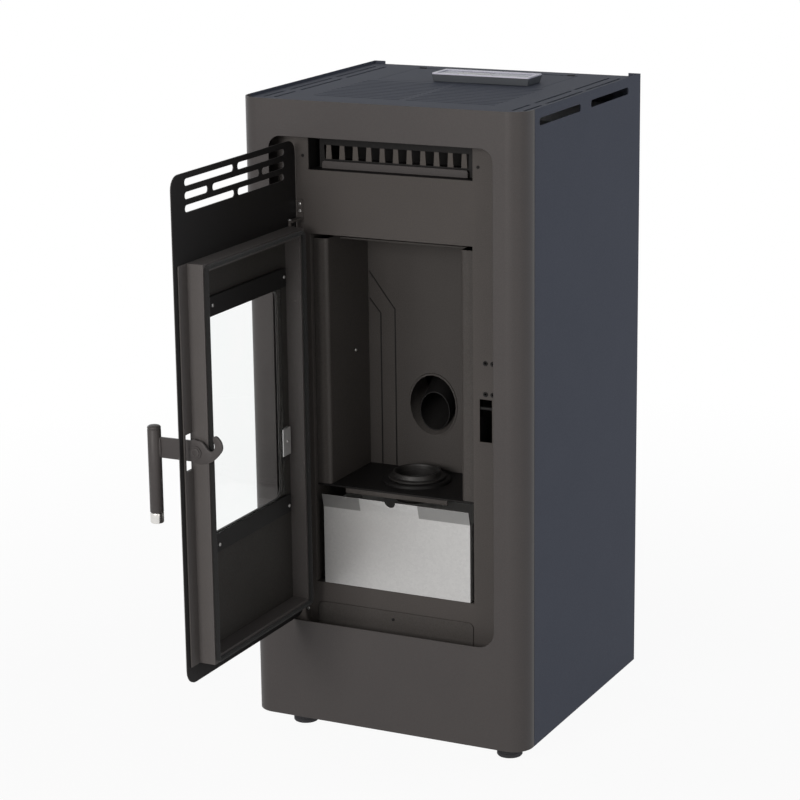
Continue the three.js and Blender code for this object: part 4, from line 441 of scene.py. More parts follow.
# the same coat on the sides and top, tinted blue-grey: painted light, for the cool light that falls on them
cool_light_coat = painted("powder_coat_painted_cool_light", "#4D515C", "#474B56", 0.60, 1.4, 0.06, 0.05)
# heat-proof silicone paint on the firebox plates: drier, matt, a little uneven; on the access panel its
# darker grey is painted shade for the panel's recess
fire_paint = painted("heat_proof_paint_grey", "#454240", "#3D3A38", 0.58, 1.8, 0.09, 0.20)
# the plates that frame the fire: the body's grey, dried matt by the heat
plate_paint = painted("heat_proof_paint_warm_grey", "#4B4745", "#43403E", 0.56, 1.6, 0.07, 0.18)
# heat-proof black on the clamp bars, the striker, the lid's hinge and the chute; on the air duct the black is
# painted shade for the outlet's dark inside
black_paint = painted("heat_proof_paint_black", BLACK_PAINT_AND_SHADE, "#0F0E0E", 0.55, 1.6, 0.07, 0.20)
# the door's inner sheet: the same black, a little greyer
inner_sheet_paint = painted("heat_proof_paint_greyer_black", "#302E2C", "#272523", 0.60, 1.8, 0.07, 0.20)
print("paints:", warm_coat.name, cool_light_coat.name, fire_paint.name, plate_paint.name, black_paint.name)

# %% [markdown]
# ## Bare metals
# Zinc-coated sheet shows crystals, called spangle, a few millimetres wide and each a little lighter or darker
# than the next, with a fine grain from rolling over them. Drawn or ground steel shows long fine lines. Cast
# iron keeps the grain of the sand it was poured in. All are metals, so their colour is their reflection.


# %% Zinc-coated sheet
def zinc_sheet(name, lip=None, lip_middle=None):
    """The drawer's lip leans forward. Its two ends are tabs folded a little further, and a mask paints them
    darker as painted shade.
    """
    material, tree, surface, where = start(name, Metallic=0.55)
    spangle = add(tree, "ShaderNodeTexVoronoi", {}, {"Vector": where, "Scale": MM / 4})
    grain = noise(tree, stretched(tree, where, (0.35, 1, 1)), 0.9, 4.0)
    cell = add(tree, "ShaderNodeSeparateColor", {}, {"Color": (spangle, "Color")})
    mixed = calculate(tree, "MULTIPLY_ADD", grain, 2.4, (cell, 0))
    sheet = set_colour(tree, surface, spread(tree, mixed, 0.3, 2.8, 0.0, 1.0), "#B1B1B1", "#C0C0BF")
    if lip:
        # painted shade: the two end tabs of the lip are darker
        tab_shade = calculate(tree, "SUBTRACT", inside_box(tree, where, lip), inside_box(tree, where, lip_middle))
        set_colour(tree, surface, tab_shade, sheet, "#848483")
    set_gloss(tree, surface, mixed, 0.3, 2.0, 0.50, 0.38)
    set_bump(tree, surface, grain, 0.25, 0.06)
    return material


# hot-dip zinc-coated sheet steel: pale, spangled, half matt
zinc = zinc_sheet("zinc_coated_steel_sheet")
LIP_FOOT, LIP_END = 341.4, 370
drawer_zinc = zinc_sheet("zinc_coated_steel_drawer",
                         limits_on("ash_drawer", place(-130, 20, LIP_FOOT), place(140, 39, LIP_END), "XYZ"),
                         limits_on("ash_drawer", place(-57, 20, LIP_FOOT), place(43, 39, LIP_END), "XYZ"))
print("zinc:", zinc.name, drawer_zinc.name)


# %% Ground and drawn steel, chrome, cast iron
def lined_steel(name, light, dark, roughness, stretch, line_mm, depth):
    material, tree, surface, where = start(name, Metallic=1.0)
    lines = noise(tree, stretched(tree, where, stretch), line_mm, 4.0)
    stain = noise(tree, where, 22, 3.0)
    both = calculate(tree, "MULTIPLY_ADD", lines, 0.6, stain)
    set_colour(tree, surface, spread(tree, both, 0.5, 1.1, 0.0, 1.0), dark, light)
    set_gloss(tree, surface, both, 0.5, 1.1, roughness + 0.1, roughness - 0.05)
    set_bump(tree, surface, lines, 0.3, depth)
    return material


# plain mild steel, drawn and a little oiled: grey with lines along the sheet
raw_steel = lined_steel("drawn_mild_steel", "#A3A4A6", "#7C7D80", 0.42, (1, 1, 0.12), 1.2, 0.03)
# stainless cap on the handle, ground round and round and polished: bright with faint rings
bright_steel = lined_steel("polished_stainless_steel", "#E6E4E1", "#CFCDC9", 0.20, (0.1, 0.1, 1), 0.8, 0.012)
# zinc-plated fastener steel: small bright screws with a soft gloss
screw_steel = lined_steel("zinc_plated_screw_steel", "#C9C8C6", "#9C9B9A", 0.33, (1, 1, 1), 0.9, 0.02)


def sand_cast_iron():
    material, tree, surface, where = start("sand_cast_iron", Metallic=0.35)
    sand = noise(tree, where, 1.3, 5.0, Roughness=0.65)
    soot = noise(tree, where, 25, 2.0)
    set_colour(tree, surface, soot, "#2E2C2B", "#1B1A19")
    set_gloss(tree, surface, sand, 0.3, 0.7, 0.62, 0.44)
    set_bump(tree, surface, sand, 0.5, 0.2)
    return material


# grey iron poured in sand: dark, grainy, with a dull gleam
cast_iron = sand_cast_iron()
print("metals:", raw_steel.name, bright_steel.name, screw_steel.name, cast_iron.name)

# %% [markdown]
# ## Glass, rope, plastic and rubber
# The window is clear ceramic glass. The seal is knitted glass-fibre rope, dyed black, whose stitches are some
# two millimetres long. Housings are moulded plastic with an even spark-eroded grain. The control panel has
# a silver-grey frame and a smooth membrane. The feet are moulded rubber.


# %% Soft and clear finishes
def clear_ceramic():
    material, tree, surface, where = start("clear_ceramic_glass", Roughness=0.0, IOR=1.18,
                                           Transmission_Weight=1.0)
    set_colour(tree, surface, noise(tree, where, 60, 1.0), "#FFFFFF", "#FBFEFD")
    return material


def knitted_rope():
    material, tree, surface, where = start("knitted_glass_fibre_rope", Roughness=0.95, Sheen_Weight=0.05)
    stitch = add(tree, "ShaderNodeTexVoronoi", {"feature": "SMOOTH_F1"}, {"Vector": where, "Scale": MM / 2.2})
    fuzz = noise(tree, where, 0.6, 3.0)
    both = calculate(tree, "MULTIPLY_ADD", fuzz, 0.3, (stitch, "Distance"))
    set_colour(tree, surface, both, "#0D0D0D", "#050505")
    set_bump(tree, surface, both, 0.8, 0.8, {"invert": True})
    return material


def moulded(name, light, dark, roughness, grain_mm, depth):
    material, tree, surface, where = start(name)
    grain = noise(tree, where, grain_mm, 2.0)
    set_colour(tree, surface, noise(tree, where, 30, 2.0), dark, light)
    set_gloss(tree, surface, grain, 0.3, 0.7, roughness + 0.08, roughness - 0.06)
    set_bump(tree, surface, grain, 0.3, depth)
    return material


glass = clear_ceramic()
rope = knitted_rope()
# glass-filled nylon housings: black with an even spark-eroded grain
black_plastic = moulded("grained_black_nylon", "#232325", "#1A1A1C", 0.5, 0.9, 0.05)
# moulded ABS of the panel's housing, in the grey of the lid it sits on
grey_plastic = moulded("grained_grey_abs", "#41454B", "#3B3F45", 0.6, 0.9, 0.04)
# painted ABS frame of the control panel: silver with a slight lavender cast
silver_abs = moulded("silver_painted_abs", "#DCDCEA", "#D2D2E1", 0.34, 0.8, 0.004)
# printed polyester membrane: smooth, grey, darker than its frame
membrane = moulded("polyester_membrane_grey", "#A9ABBC", "#A0A2B3", 0.30, 1.2, 0.003)
# the unlit display under its clear window: blue-grey and glossy
display_grey = moulded("unlit_display", "#6F747C", "#686D75", 0.14, 2.0, 0.001)
# solder mask over a glass-fibre board: green, satin
board_green = moulded("solder_mask_green", "#2F6A43", "#265737", 0.38, 1.5, 0.02)
# moulded rubber feet: black, dull, faintly dusty
rubber = moulded("moulded_rubber", "#26262A", "#1B1B1E", 0.78, 1.0, 0.06)
print("soft finishes:", glass.name, rope.name, black_plastic.name, silver_abs.name, rubber.name)

# %% [markdown]
# ## Dressing the sheet metal
# Each solid of the frame keeps its shape and gets its finish. Real sheet is never knife-sharp: it is rolled,
# laser cut, tumbled and then painted, which leaves a tiny round on every edge that catches the light. The
# solids are loose triangles, so a Weld joins them, a planar Decimate clears the flat faces, and a Bevel with
# hardened normals rounds only the edges that turn by more than thirty degrees.

# %% Which solid has which finish
finishes = {
    "warm": (warm_coat, "front_panel air_outlet_lip"),
    "frame": (frame_coat, "door_frame"),
    "comb": (comb_coat, "air_outlet_comb"),
    "deck": (deck_coat, "burn_pot_deck"),
    "leaf": (leaf_coat, "door_leaf"),
    "blue": (cool_light_coat, "side_panel_left side_panel_right top_cover back_panel hopper_lid"),
    # the access panel's darker fire paint is painted shade for its recess
    "fire": (fire_paint, "firebox_body back_liner side_liner_left side_liner_right baffle access_panel"),
    "plate": (plate_paint, "inner_front_plate hinge_bracket_upper hinge_bracket_lower"),
    "black": (black_paint, "latch_striker lid_hinge air_duct glass_clamp_upper glass_clamp_lower chute_tube"),
    "dark_grey_inner": (inner_sheet_paint, "door_inner_panel"),
    "drawer": (drawer_zinc, "ash_drawer"),
    "zinc": (zinc, "base_plate hopper smoke_fan_housing room_fan_housing glass_clip"),
    "steel": (raw_steel, "auger_tube auger_screw smoke_impeller igniter room_fan_wheel"),
    "glass": (glass, "door_glass"),
    "plastic": (black_plastic, "auger_gearmotor smoke_motor room_fan_motor power_inlet power_switch_rocker"),
    "panel": (grey_plastic, "control_panel_housing"),
    "board": (board_green, "control_board"),
}
for material, names in finishes.values():
    for name in names.split():
        nodes[name].data.materials.clear()
        nodes[name].data.materials.append(material)
print(sum(len(names.split()) for material, names in finishes.values()), "solids have their finish")

# %% Rounded edges on the solids that show
EDGE_ROUND = {
    "front_panel": 0.7, "door_leaf": 0.6, "door_frame": 0.8, "side_panel_left": 0.6,
    "side_panel_right": 0.6, "top_cover": 0.5, "back_panel": 0.5, "hopper_lid": 0.6, "air_outlet_comb": 0.4,
    "air_outlet_lip": 0.8, "firebox_body": 0.8, "back_liner": 0.4, "side_liner_left": 0.7,
    "side_liner_right": 0.7, "baffle": 0.6, "inner_front_plate": 0.5, "access_panel": 0.6,
    "burn_pot_deck": 0.8, "door_inner_panel": 0.5, "ash_drawer": 0.5, "base_plate": 0.5, "air_duct": 0.5,
    "chute_tube": 0.4, "latch_striker": 0.5, "hinge_bracket_upper": 0.5, "hinge_bracket_lower": 0.5,
    "glass_clamp_upper": 0.6, "glass_clamp_lower": 0.6, "glass_clip": 0.6, "power_inlet": 0.5,
    "power_switch_rocker": 0.4, "control_panel_housing": 0.8,
}
for name, width in EDGE_ROUND.items():
    solid = nodes[name]
    weld = solid.modifiers.new("weld", "WELD")
    weld.merge_threshold = 0.00001
    flat = solid.modifiers.new("flat", "DECIMATE")
    flat.decimate_type = "DISSOLVE"
    flat.angle_limit = math.radians(0.5)
    soft = solid.modifiers.new("soft", "BEVEL")
    soft.width = width / 1000
    soft.segments = 2
    soft.limit_method = "ANGLE"
    soft.angle_limit = math.radians(32)
    soft.harden_normals = True
    even = solid.modifiers.new("even", "WEIGHTED_NORMAL")
    even.weight = 90
    even.keep_sharp = True
    solid.data.polygons.foreach_set("use_smooth", [True] * len(solid.data.polygons))
print(len(EDGE_ROUND), "solids have rounded edges")

# %% [markdown]
# ## Handle
# The handle is a bar of turned steel, 20 mm thick, powder coated with the door. Its top is domed above a fine
# groove, and a stainless cap closes its lower end. All three are lathe work, so they are spun. The groove and
# the small lip where cap meets bar are what tell the eye that these are two pieces.

# %% Handle
HANDLE_X, HANDLE_Y = -214.2, -304
HANDLE_FOOT, CAP_HEIGHT, HANDLE_TOP = 400, 16, 547
HANDLE_RADIUS = 10
grip_length = HANDLE_TOP - HANDLE_FOOT - CAP_HEIGHT - 0.3
grip_foot = place(HANDLE_X, HANDLE_Y, HANDLE_FOOT + CAP_HEIGHT + 0.3)
grip = turned("handle_bar", [
    (0, 0), (9.4, 0), (10, 0.6), (10, grip_length - 6.2), (9.7, grip_length - 5.8), (9.4, grip_length - 5.6),
    (9.4, grip_length - 4.9), (9.7, grip_length - 4.7), (10, grip_length - 4.3), (9.9, grip_length - 3.0),
    (9.3, grip_length - 1.7), (8.0, grip_length - 0.8), (5.4, grip_length - 0.2), (2.6, grip_length),
    (0, grip_length)], grip_foot, steps=56, angle=50)
cap = turned("handle_end_cap", [
    (0, 0.4), (5.6, 0.4), (6.6, 0), (8.2, 0), (9.4, 0.7), (10, 1.9), (10, 14.8), (9.8, 15.6), (9.4, 16),
    (0, 16)], place(HANDLE_X, HANDLE_Y, HANDLE_FOOT), steps=56, angle=50)
grip.data.materials.append(warm_coat)
cap.data.materials.append(bright_steel)
for piece, slot, node in ((grip, "warm_coat", "handle_grip"), (cap, "bright_steel", "handle_cap")):
    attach(piece, "lever")
    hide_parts(node)
print("handle bar", len(grip.data.polygons), "faces, cap", len(cap.data.polygons))

# %% [markdown]
# ## Lever arm
# The arm is laser cut from 4 mm plate. It runs straight from the handle past the pivot bolt, dips into a
# throat that takes the catch pin, and rises again as a hook with a round back. Its outline is one smooth line
# through a few points, each given as the distance across the door and the height, with the door open.

# %% Lever arm
ARM_OUTER_Y, ARM_THICKNESS = -306, 4
ARM_LEFT, ARM_TOP, ARM_BOTTOM = HANDLE_X + HANDLE_RADIUS + 0.3, 530, 499.5
CURVE_STEPS = 5
hook_line = [
    (-150, 530.6), (-141.5, 531.4), (-135.4, 530.4), (-130.2, 526.0), (-125.6, 520.4), (-121.2, 517.6),
    (-116.6, 518.6), (-113.8, 522.6), (-113.4, 528.4), (-115.4, 534.4), (-115.4, 538.8), (-112, 541),
    (-108, 539.4), (-103, 533.6), (-100.9, 526.8), (-101.8, 520.2), (-107.2, 512.8), (-115.2, 504.8),
    (-120.4, 501.2), (-128, 499.7), (-148, ARM_BOTTOM)]
hook_curve = curved(hook_line, CURVE_STEPS)[:-CURVE_STEPS]
arm_line = [(ARM_LEFT, ARM_TOP), *hook_curve, hook_line[-1], (ARM_LEFT, ARM_BOTTOM)]
arm = sheet_part("lever_arm", [place(x, ARM_OUTER_Y, z) for x, z in arm_line],
                 (0, ARM_THICKNESS / 1000, 0), 0.5)
arm.data.materials.append(warm_coat)
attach(arm, "lever")
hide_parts("latch_lever")
print("lever arm", len(arm.data.polygons), "faces")

# %% [markdown]
# ## Weld beads
# The lever arm is a flat plate welded to the handle bar with two upright beads. A bead is a low ridge with
# the ripples that each drop of weld leaves. One is modelled as a slim ball, drawn out and rippled along its
# length, and the other side's bead is a copy with its own mesh.

# %% Weld beads
BEAD_SPACING, RIPPLE_LENGTH = 5.2, 2.4
bead_middle = place(HANDLE_X + HANDLE_RADIUS + 0.7, HANDLE_Y - BEAD_SPACING / 2, 514.8)
clear()
bpy.ops.mesh.primitive_uv_sphere_add(segments=16, ring_count=28, radius=1, location=bead_middle)
bead = name_it("weld_bead_near")
bead.scale = (0.0019, 0.0018, 0.0150)
settle(bead)
for corner in bead.data.vertices:
    ripple = 1 + 0.10 * math.cos(corner.co.z * 2 * math.pi / (RIPPLE_LENGTH / 1000))
    corner.co.x = bead_middle.x + (corner.co.x - bead_middle.x) * ripple
    corner.co.y = bead_middle.y + (corner.co.y - bead_middle.y) * ripple
smooth(bead, 60)
bead.data.materials.append(warm_coat)
far_bead = bead.copy()
far_bead.data = bead.data.copy()
far_bead.name = "weld_bead_far"
bpy.context.scene.collection.objects.link(far_bead)
far_bead.location.y = BEAD_SPACING / 1000
settle(far_bead)
for piece in (bead, far_bead):
    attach(piece, "lever")
print("two weld beads")

# %% [markdown]
# ## Pivot bolt
# The lever turns on a shouldered bolt with a low round head and a shallow hollow in its middle, with a thin
# washer under it. It is turned too, lying across the door, so its lathe axis points along the door's width.

# %% Pivot bolt
bolt_z = 513.9
bolt_seat = DOOR_SWING_Y - 158.3     # outer face of the lever arm, with the door open
bolt = turned("latch_bolt", [
    (0, 7.7), (8, 7.7), (8, 4.4), (4, 4.4), (4, -0.4), (9.2, -0.4), (9.5, -0.7), (9.5, -1.5), (9.1, -1.9),
    (7.4, -1.9), (7.2, -2.1), (7.2, -2.9), (6.8, -3.4), (5.4, -3.8), (3.6, -3.8), (3.2, -3.5), (3.0, -2.9),
    (0, -2.9)],
    place(-144.7, bolt_seat + 0.3, bolt_z), axis=(0, 1, 0), steps=40, angle=35)
bolt.data.materials.append(warm_coat)
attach(bolt, "door")
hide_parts("latch_pivot_bolt")
print("bolt", len(bolt.data.polygons), "faces")

# %% [markdown]
# ## Screws
# Sheet metal is held by pan-head screws. One is modelled standing on the floor of the scene: a short
# cylinder, its rim rounded with a bevel, and a cross sunk into the head. Every other screw is a copy of it,
# turned to face the way its panel faces and given its own mesh.

# %% One screw
HEAD_RADIUS, HEAD_HEIGHT = 3.4, 2.0
clear()
bpy.ops.mesh.primitive_cylinder_add(vertices=28, radius=HEAD_RADIUS / 1000, depth=HEAD_HEIGHT / 1000,
                                    location=(0, 0, HEAD_HEIGHT / 2000))
screw = name_it("screw_master")
settle(screw)
bpy.ops.object.mode_set(mode="EDIT")
pick(screw, "faces", lambda face, middle: face.normal.z > 0.9)
bpy.ops.mesh.bevel(offset=0.0011, segments=4, affect="EDGES")
bpy.ops.object.mode_set(mode="OBJECT")
for long_side, short_side in ((4.2, 0.85), (0.85, 4.2)):
    cross = bar("cross", (-long_side / 2000, -short_side / 2000, 0.0008),
                (long_side / 2000, short_side / 2000, 0.004))
    cut_away(screw, cross)
smooth(screw, 35)
screw.data.materials.append(screw_steel)
print("screw", len(screw.data.polygons), "faces")

# %% All the screws
FIRST_TURN, NEXT_TURN = 20, 37           # degrees, so that no two crosses stand alike
screw_count = 0


def drive(spot, facing, body, size=1.0, finish=None):
    global screw_count
    screw_count += 1
    made = screw.copy()
    made.data = screw.data.copy()
    made.name = f"screw_{screw_count:02d}"
    bpy.context.scene.collection.objects.link(made)
    spin = Matrix.Rotation(math.radians(FIRST_TURN + NEXT_TURN * screw_count), 4, "Z")
    aim = Vector(facing).to_track_quat("Z", "Y").to_matrix().to_4x4()
    made.matrix_world = Matrix.Translation(spot) @ aim @ spin @ Matrix.Scale(size, 4)
    settle(made)
    if finish:
        made.data.materials[0] = finish
    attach(made, body)
    return made


FRONT, BACK, RIGHT = (0, -1, 0), (0, 1, 0), (1, 0, 0)
PLATE_Y = 36.4               # front face of the plate behind the door opening
access_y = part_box("access_panel")[0].y * 1000 - CABINET_SHIFT_Y
for x in (-145, 145):
    drive(place(x, PLATE_Y, 890.8), FRONT, "cabinet", 0.7, black_paint)
drive(place(-2, access_y, 172.7), FRONT, "cabinet", 0.7, black_paint)
drive(place(-111, 134, 571), RIGHT, "cabinet", 0.8)
print(screw_count, "screws so far; the access panel's face is at", round(access_y, 2))

# %% [markdown]
# ## Burn pot
# The cup that the pellets burn in is a casting, lifted out to be emptied. It is spun from its outline, with a
# flange that rests on the ring of the deck, a thick rim with soft corners and a few cast steps inside. Air
# holes are then bored through its floor, as they are in the real one.

# %% Burn pot
POT_Y, DECK_TOP, RING_HEIGHT = 121, 375.6, 5
seat = DECK_TOP + RING_HEIGHT + 0.3
pot = turned("burn_cup", [
    (0, 347), (33.4, 347), (36, 347.6), (37.5, 349.2), (38, 351.5), (38, seat - 0.6), (38.6, seat),
    (44.2, seat), (45, seat + 0.6), (45, seat + 2.2), (44.3, seat + 2.9), (40.2, seat + 3.1),
    (38.8, seat + 3.6), (38.1, seat + 4.6), (38, 390.4), (37.2, 391.6), (36.2, 392), (35.2, 391.8),
    (34.3, 390.8), (34, 388.6), (34, 383), (33.2, 382.2), (33.2, 374), (32.4, 373.2), (32.2, 356),
    (30.8, 352.6), (27.6, 351), (0, 351)], place(0, POT_Y, 0), steps=64, angle=38)
HOLE_RADIUS, HOLE_CIRCLE, HOLE_COUNT = 3, 20.4, 6
hole_angles = [k * math.tau / HOLE_COUNT for k in range(HOLE_COUNT)]
hole_places = [(HOLE_CIRCLE * math.cos(angle), HOLE_CIRCLE * math.sin(angle)) for angle in hole_angles]
hole_places.append((0, 0))
for x, y in hole_places:
    clear()
    bpy.ops.mesh.primitive_cylinder_add(vertices=16, radius=HOLE_RADIUS / 1000, depth=0.02,
                                        location=place(x, POT_Y + y, 349))
    cut_away(pot, name_it("drill"))
smooth(pot, 38)
pot.data.materials.append(cast_iron)
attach(pot, "pot")
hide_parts("burn_pot")
print("burn cup", len(pot.data.polygons), "faces")

# %% [markdown]
# ## Door seal
# A rope of knitted glass fibre is pressed into the channel round the door frame, and it closes against the
# cabinet's plate. It is drawn as a flat rectangle with round corners, turned into a curve and given a round
# section, then squeezed a little flat as a pressed rope is.

# %% Door seal
FRAME_X, FRAME_BOTTOM, FRAME_TOP, SEAL_INSET, SEAL_Y = 150, 191, 787, 5.4, 32
ROPE_RADIUS, ROPE_DEPTH = 3.2, 4.0
seal_low = door_place(FRAME_X - SEAL_INSET, SEAL_Y, FRAME_BOTTOM + SEAL_INSET)
seal_high = door_place(-FRAME_X + SEAL_INSET, SEAL_Y, FRAME_TOP - SEAL_INSET)
clear()
bpy.ops.mesh.primitive_plane_add(size=1, location=(seal_low + seal_high) / 2, rotation=(0, math.pi / 2, 0))
seal = name_it("door_rope")
seal.scale = (abs(seal_high.z - seal_low.z), abs(seal_high.y - seal_low.y), 1)
settle(seal)
bpy.ops.object.mode_set(mode="EDIT")
bpy.ops.mesh.select_all(action="SELECT")
bpy.ops.mesh.bevel(affect="VERTICES", offset=0.006, segments=6)
bpy.ops.mesh.delete(type="ONLY_FACE")
bpy.ops.object.mode_set(mode="OBJECT")
bpy.ops.object.convert(target="CURVE")
seal = bpy.context.object
seal.data.bevel_depth = ROPE_RADIUS / 1000
seal.data.bevel_resolution = 3
seal.data.use_fill_caps = True
bpy.ops.object.convert(target="MESH")
seal = name_it("door_rope")
middle_x = seal_low.x
for corner in seal.data.vertices:
    corner.co.x = middle_x + (corner.co.x - middle_x) * ROPE_DEPTH / ROPE_RADIUS
settle(seal)
bpy.ops.object.mode_set(mode="EDIT")
bpy.ops.mesh.select_all(action="SELECT")
bpy.ops.mesh.remove_doubles(threshold=1e-6)
bpy.ops.mesh.normals_make_consistent(inside=False)
bpy.ops.object.mode_set(mode="OBJECT")
smooth(seal, 60)
seal.data.materials.clear()
seal.data.materials.append(rope)
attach(seal, "door")
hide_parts("door_gasket")
print("rope", len(seal.data.polygons), "faces")

# %% [markdown]
# ## Feet
# The stove stands on four levelling feet: a rubber pad moulded on a steel cone with a stem that screws into
# the base. The pad has a soft bottom edge and a groove, and a hexagon for the spanner sits under the base.

# %% Feet
foot_outline = [
    (0, 0), (16.5, 0), (18.8, 0.5), (20, 2.2), (20, 6.8), (19.4, 7.4), (19.4, 8.0), (20, 8.6), (19.8, 10.6),
    (18.2, 11.6), (13.4, 13.4), (11.6, 14.8), (10.6, 17.0), (10.6, 24.6), (5, 24.6), (5, 49.6), (4.4, 50),
    (0, 50)]
foot_places = [(f"foot_{end}_{side}", x, y) for end, y in (("front", 71), ("rear", 390))
               for side, x in (("left", -179), ("right", 179))]
for name, x, y in foot_places:
    foot = turned("levelling_" + name, foot_outline, place(x, y, -FOOT_HEIGHT), steps=40, angle=35)
    foot.data.materials.append(rubber)
    clear()
    bpy.ops.mesh.primitive_cylinder_add(vertices=6, radius=0.0104, depth=0.008, location=place(x, y, -5.2))
    nut = round_edges(name_it("spanner_nut_" + name), 0.5, 2, 30)
    settle(nut)
    nut.data.materials.append(screw_steel)
    for piece, slot in ((foot, "foot_rubber"), (nut, "raw_steel")):
        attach(piece, "cabinet")
    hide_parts(name)
print("four feet")

# %% [markdown]
# ## Pipes at the back
# Smoke leaves through an 80 mm spigot, and air comes in through a 50 mm pipe. Both are rolled steel tube with
# a collar on the back panel. Their ends are rounded and each has a stop bead, the raised ring that a fitted
# pipe is pushed up to. They are spun about a level axis.


# %% Pipes at the back
BACK_FACE, PIPE_WALL, BEAD_FROM_FACE = 458, 2, 12
FLUE_X, FLUE_Z, FLUE_RADIUS = -118, 232, 40
AIR_X, AIR_Z, AIR_RADIUS = 108, 258, 25


def pipe(name, node, x, z, radius, collar_reach, material):
    low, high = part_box(node)
    front = low.y * 1000 - CABINET_SHIFT_Y
    length = (high.y - low.y) * 1000
    seat = BACK_FACE - front
    outer = radius + collar_reach
    outline = [
        (radius, 0), (radius, seat), (outer - 0.6, seat), (outer, seat + 0.6), (outer, seat + 1.4),
        (outer - 0.6, seat + 2), (radius + 1.6, seat + 2), (radius + 0.4, seat + 2.8), (radius, seat + 4)]
    bead_at = seat + BEAD_FROM_FACE
    outline += [(radius, bead_at - 2), (radius + 0.7, bead_at - 1.4), (radius + 1.3, bead_at),
                (radius + 0.7, bead_at + 1.4), (radius, bead_at + 2)]
    bore = radius - PIPE_WALL
    outline += [(radius, length - 0.7), (radius - 0.7, length), (bore + 0.5, length), (bore, length - 0.5),
                (bore, 0), (radius, 0)]
    made = turned(name, outline, place(x, front, z), axis=(0, 1, 0), steps=64, angle=35)
    made.data.materials.append(material)
    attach(made, "cabinet")
    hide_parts(node)
    return made


flue = pipe("smoke_spigot", "flue_spigot", FLUE_X, FLUE_Z, FLUE_RADIUS, 12, black_paint)
intake = pipe("fresh_air_pipe", "air_intake_pipe", AIR_X, AIR_Z, AIR_RADIUS, 8, raw_steel)
print("pipes", len(flue.data.polygons), len(intake.data.polygons), "faces")

# %% [markdown]
# ## Control panel
# A shallow housing on the hopper lid carries a silver frame with round corners and a grey membrane set into
# it, with a small unlit display and eight keys. The keys are low domes under the membrane. The frame is a
# plate with round corners whose middle is cut out, so its ring has a true thickness, and the membrane lies a
# millimetre below its top.

# %% Control panel
PANEL_LEFT, PANEL_RIGHT, PANEL_FRONT, PANEL_REAR = -48, 118, 286, 339
BORDER, RECESS = 6.4, 0.0011
bezel_low, bezel_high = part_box("control_panel_bezel")
glass_low, glass_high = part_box("control_panel_glass")
low, high = place(PANEL_LEFT, PANEL_FRONT, 0), place(PANEL_RIGHT, PANEL_REAR, 0)
bezel = plate("panel_frame", low.x, high.x, low.y, high.y, bezel_low.z, bezel_high.z - bezel_low.z, 0.004, 6)
inner = BORDER / 1000
window = plate("panel_cut", low.x + inner, high.x - inner, low.y + inner, high.y - inner,
               bezel_low.z - 0.001, 0.01, 0.002, 4)
cut_away(bezel, window)
round_edges(bezel, 0.6, 3, 40)
bezel.data.materials.append(silver_abs)
fit = inner + 0.0003
sheet = plate("panel_membrane", low.x + fit, high.x - fit, low.y + fit, high.y - fit, glass_low.z,
              glass_high.z - glass_low.z - RECESS, 0.0018, 4)
display = plate("panel_display", -0.012, 0.044, place(0, 298, 0).y, place(0, 327, 0).y,
                glass_high.z - RECESS - 0.0008, 0.0009, 0.003, 5)
round_edges(display, 0.25, 2, 40)
round_edges(sheet, 0.2, 2, 40)
sheet.data.materials.append(membrane)
display.data.materials.append(display_grey)
for piece in (bezel, sheet, display):
    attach(piece, "lid")
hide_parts("control_panel_bezel")
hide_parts("control_panel_glass")
key_outline = [(0, -0.6), (5.2, -0.6), (5.2, 0.0), (5.0, 0.05), (4.4, 0.08), (3.6, 0.05), (0, 0.04)]
key_places = [(x, y) for x in (-32, 62, 84, 104) for y in (302, 323)]
for k, (x, y) in enumerate(key_places):
    key = turned(f"panel_key_{k + 1}", key_outline, (x / 1000, place(0, y, 0).y, glass_high.z - RECESS),
                 steps=28, angle=30)
    key.data.materials.append(membrane)
    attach(key, "lid")
print("panel with", len(key_places), "keys")

# %% [markdown]
# ## Hollow rivets
# Above the latch slot sit two pairs of hollow rivets. Each is a short tube with a rolled rim, painted black,
# so it is spun from a small closed outline, and its hole stays open.

# %% Hollow rivets
rivet_outline = [
    (1.7, 3), (3.2, 3), (3.2, -0.1), (3.9, -0.1), (4.1, -0.3), (3.8, -0.6), (2.5, -0.7), (1.9, -0.4),
    (1.7, 0.2), (1.7, 3)]
for k, (x, z) in enumerate(((155.6, 596.8), (155.7, 549.2), (167.7, 596.7), (167.6, 549.2))):
    rivet = turned(f"hollow_rivet_{k + 1}", rivet_outline, place(x, PLATE_Y, z), axis=(0, 1, 0),
                   steps=28, angle=40)
    rivet.data.materials.append(black_paint)
    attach(rivet, "cabinet")
print("rivets made")

# %% [markdown]
# ## Engraved lines
# The back liner has two lines milled into it on each side, which run up and then out at a slant. Soot and
# shadow fill them. The solid has the grooves, and a thin black strip is laid into each one, soot and painted
# shade together, since a shallow groove alone would fade under soft light.

# %% Engraved lines of the back liner
BACK_LINER_Y, LINER_TOP, LINE_HALF, GROOVE_TOP_X = 181, 764, 0.8, 109
for side, name in ((-1, "left"), (1, "right")):
    for k, (outer_z, inner_x, inner_z) in enumerate(((-74, 65, -133.3), (-117, 90, -141.3))):
        rise = LINE_HALF * 2
        x, top_z, end_z = side * inner_x, LINER_TOP + inner_z, LINER_TOP + outer_z - 1.6
        inner, outer, end_x = x - side * LINE_HALF, x + side * LINE_HALF, side * GROOVE_TOP_X
        line = [(inner, DECK_TOP + 0.4), (inner, top_z + 0.6), (end_x, end_z + rise), (end_x, end_z - rise),
                (outer, top_z - 0.6), (outer, DECK_TOP + 0.4)]
        corners = [place(line_x, BACK_LINER_Y + 0.9, line_z) for line_x, line_z in line]
        soot_and_shade_strip = sheet_part(f"engraved_line_{name}_{k + 1}", corners, (0, -0.00095, 0), 0.02)
        soot_and_shade_strip.data.materials.append(black_paint)
        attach(soot_and_shade_strip, "cabinet")
print("four engraved lines")

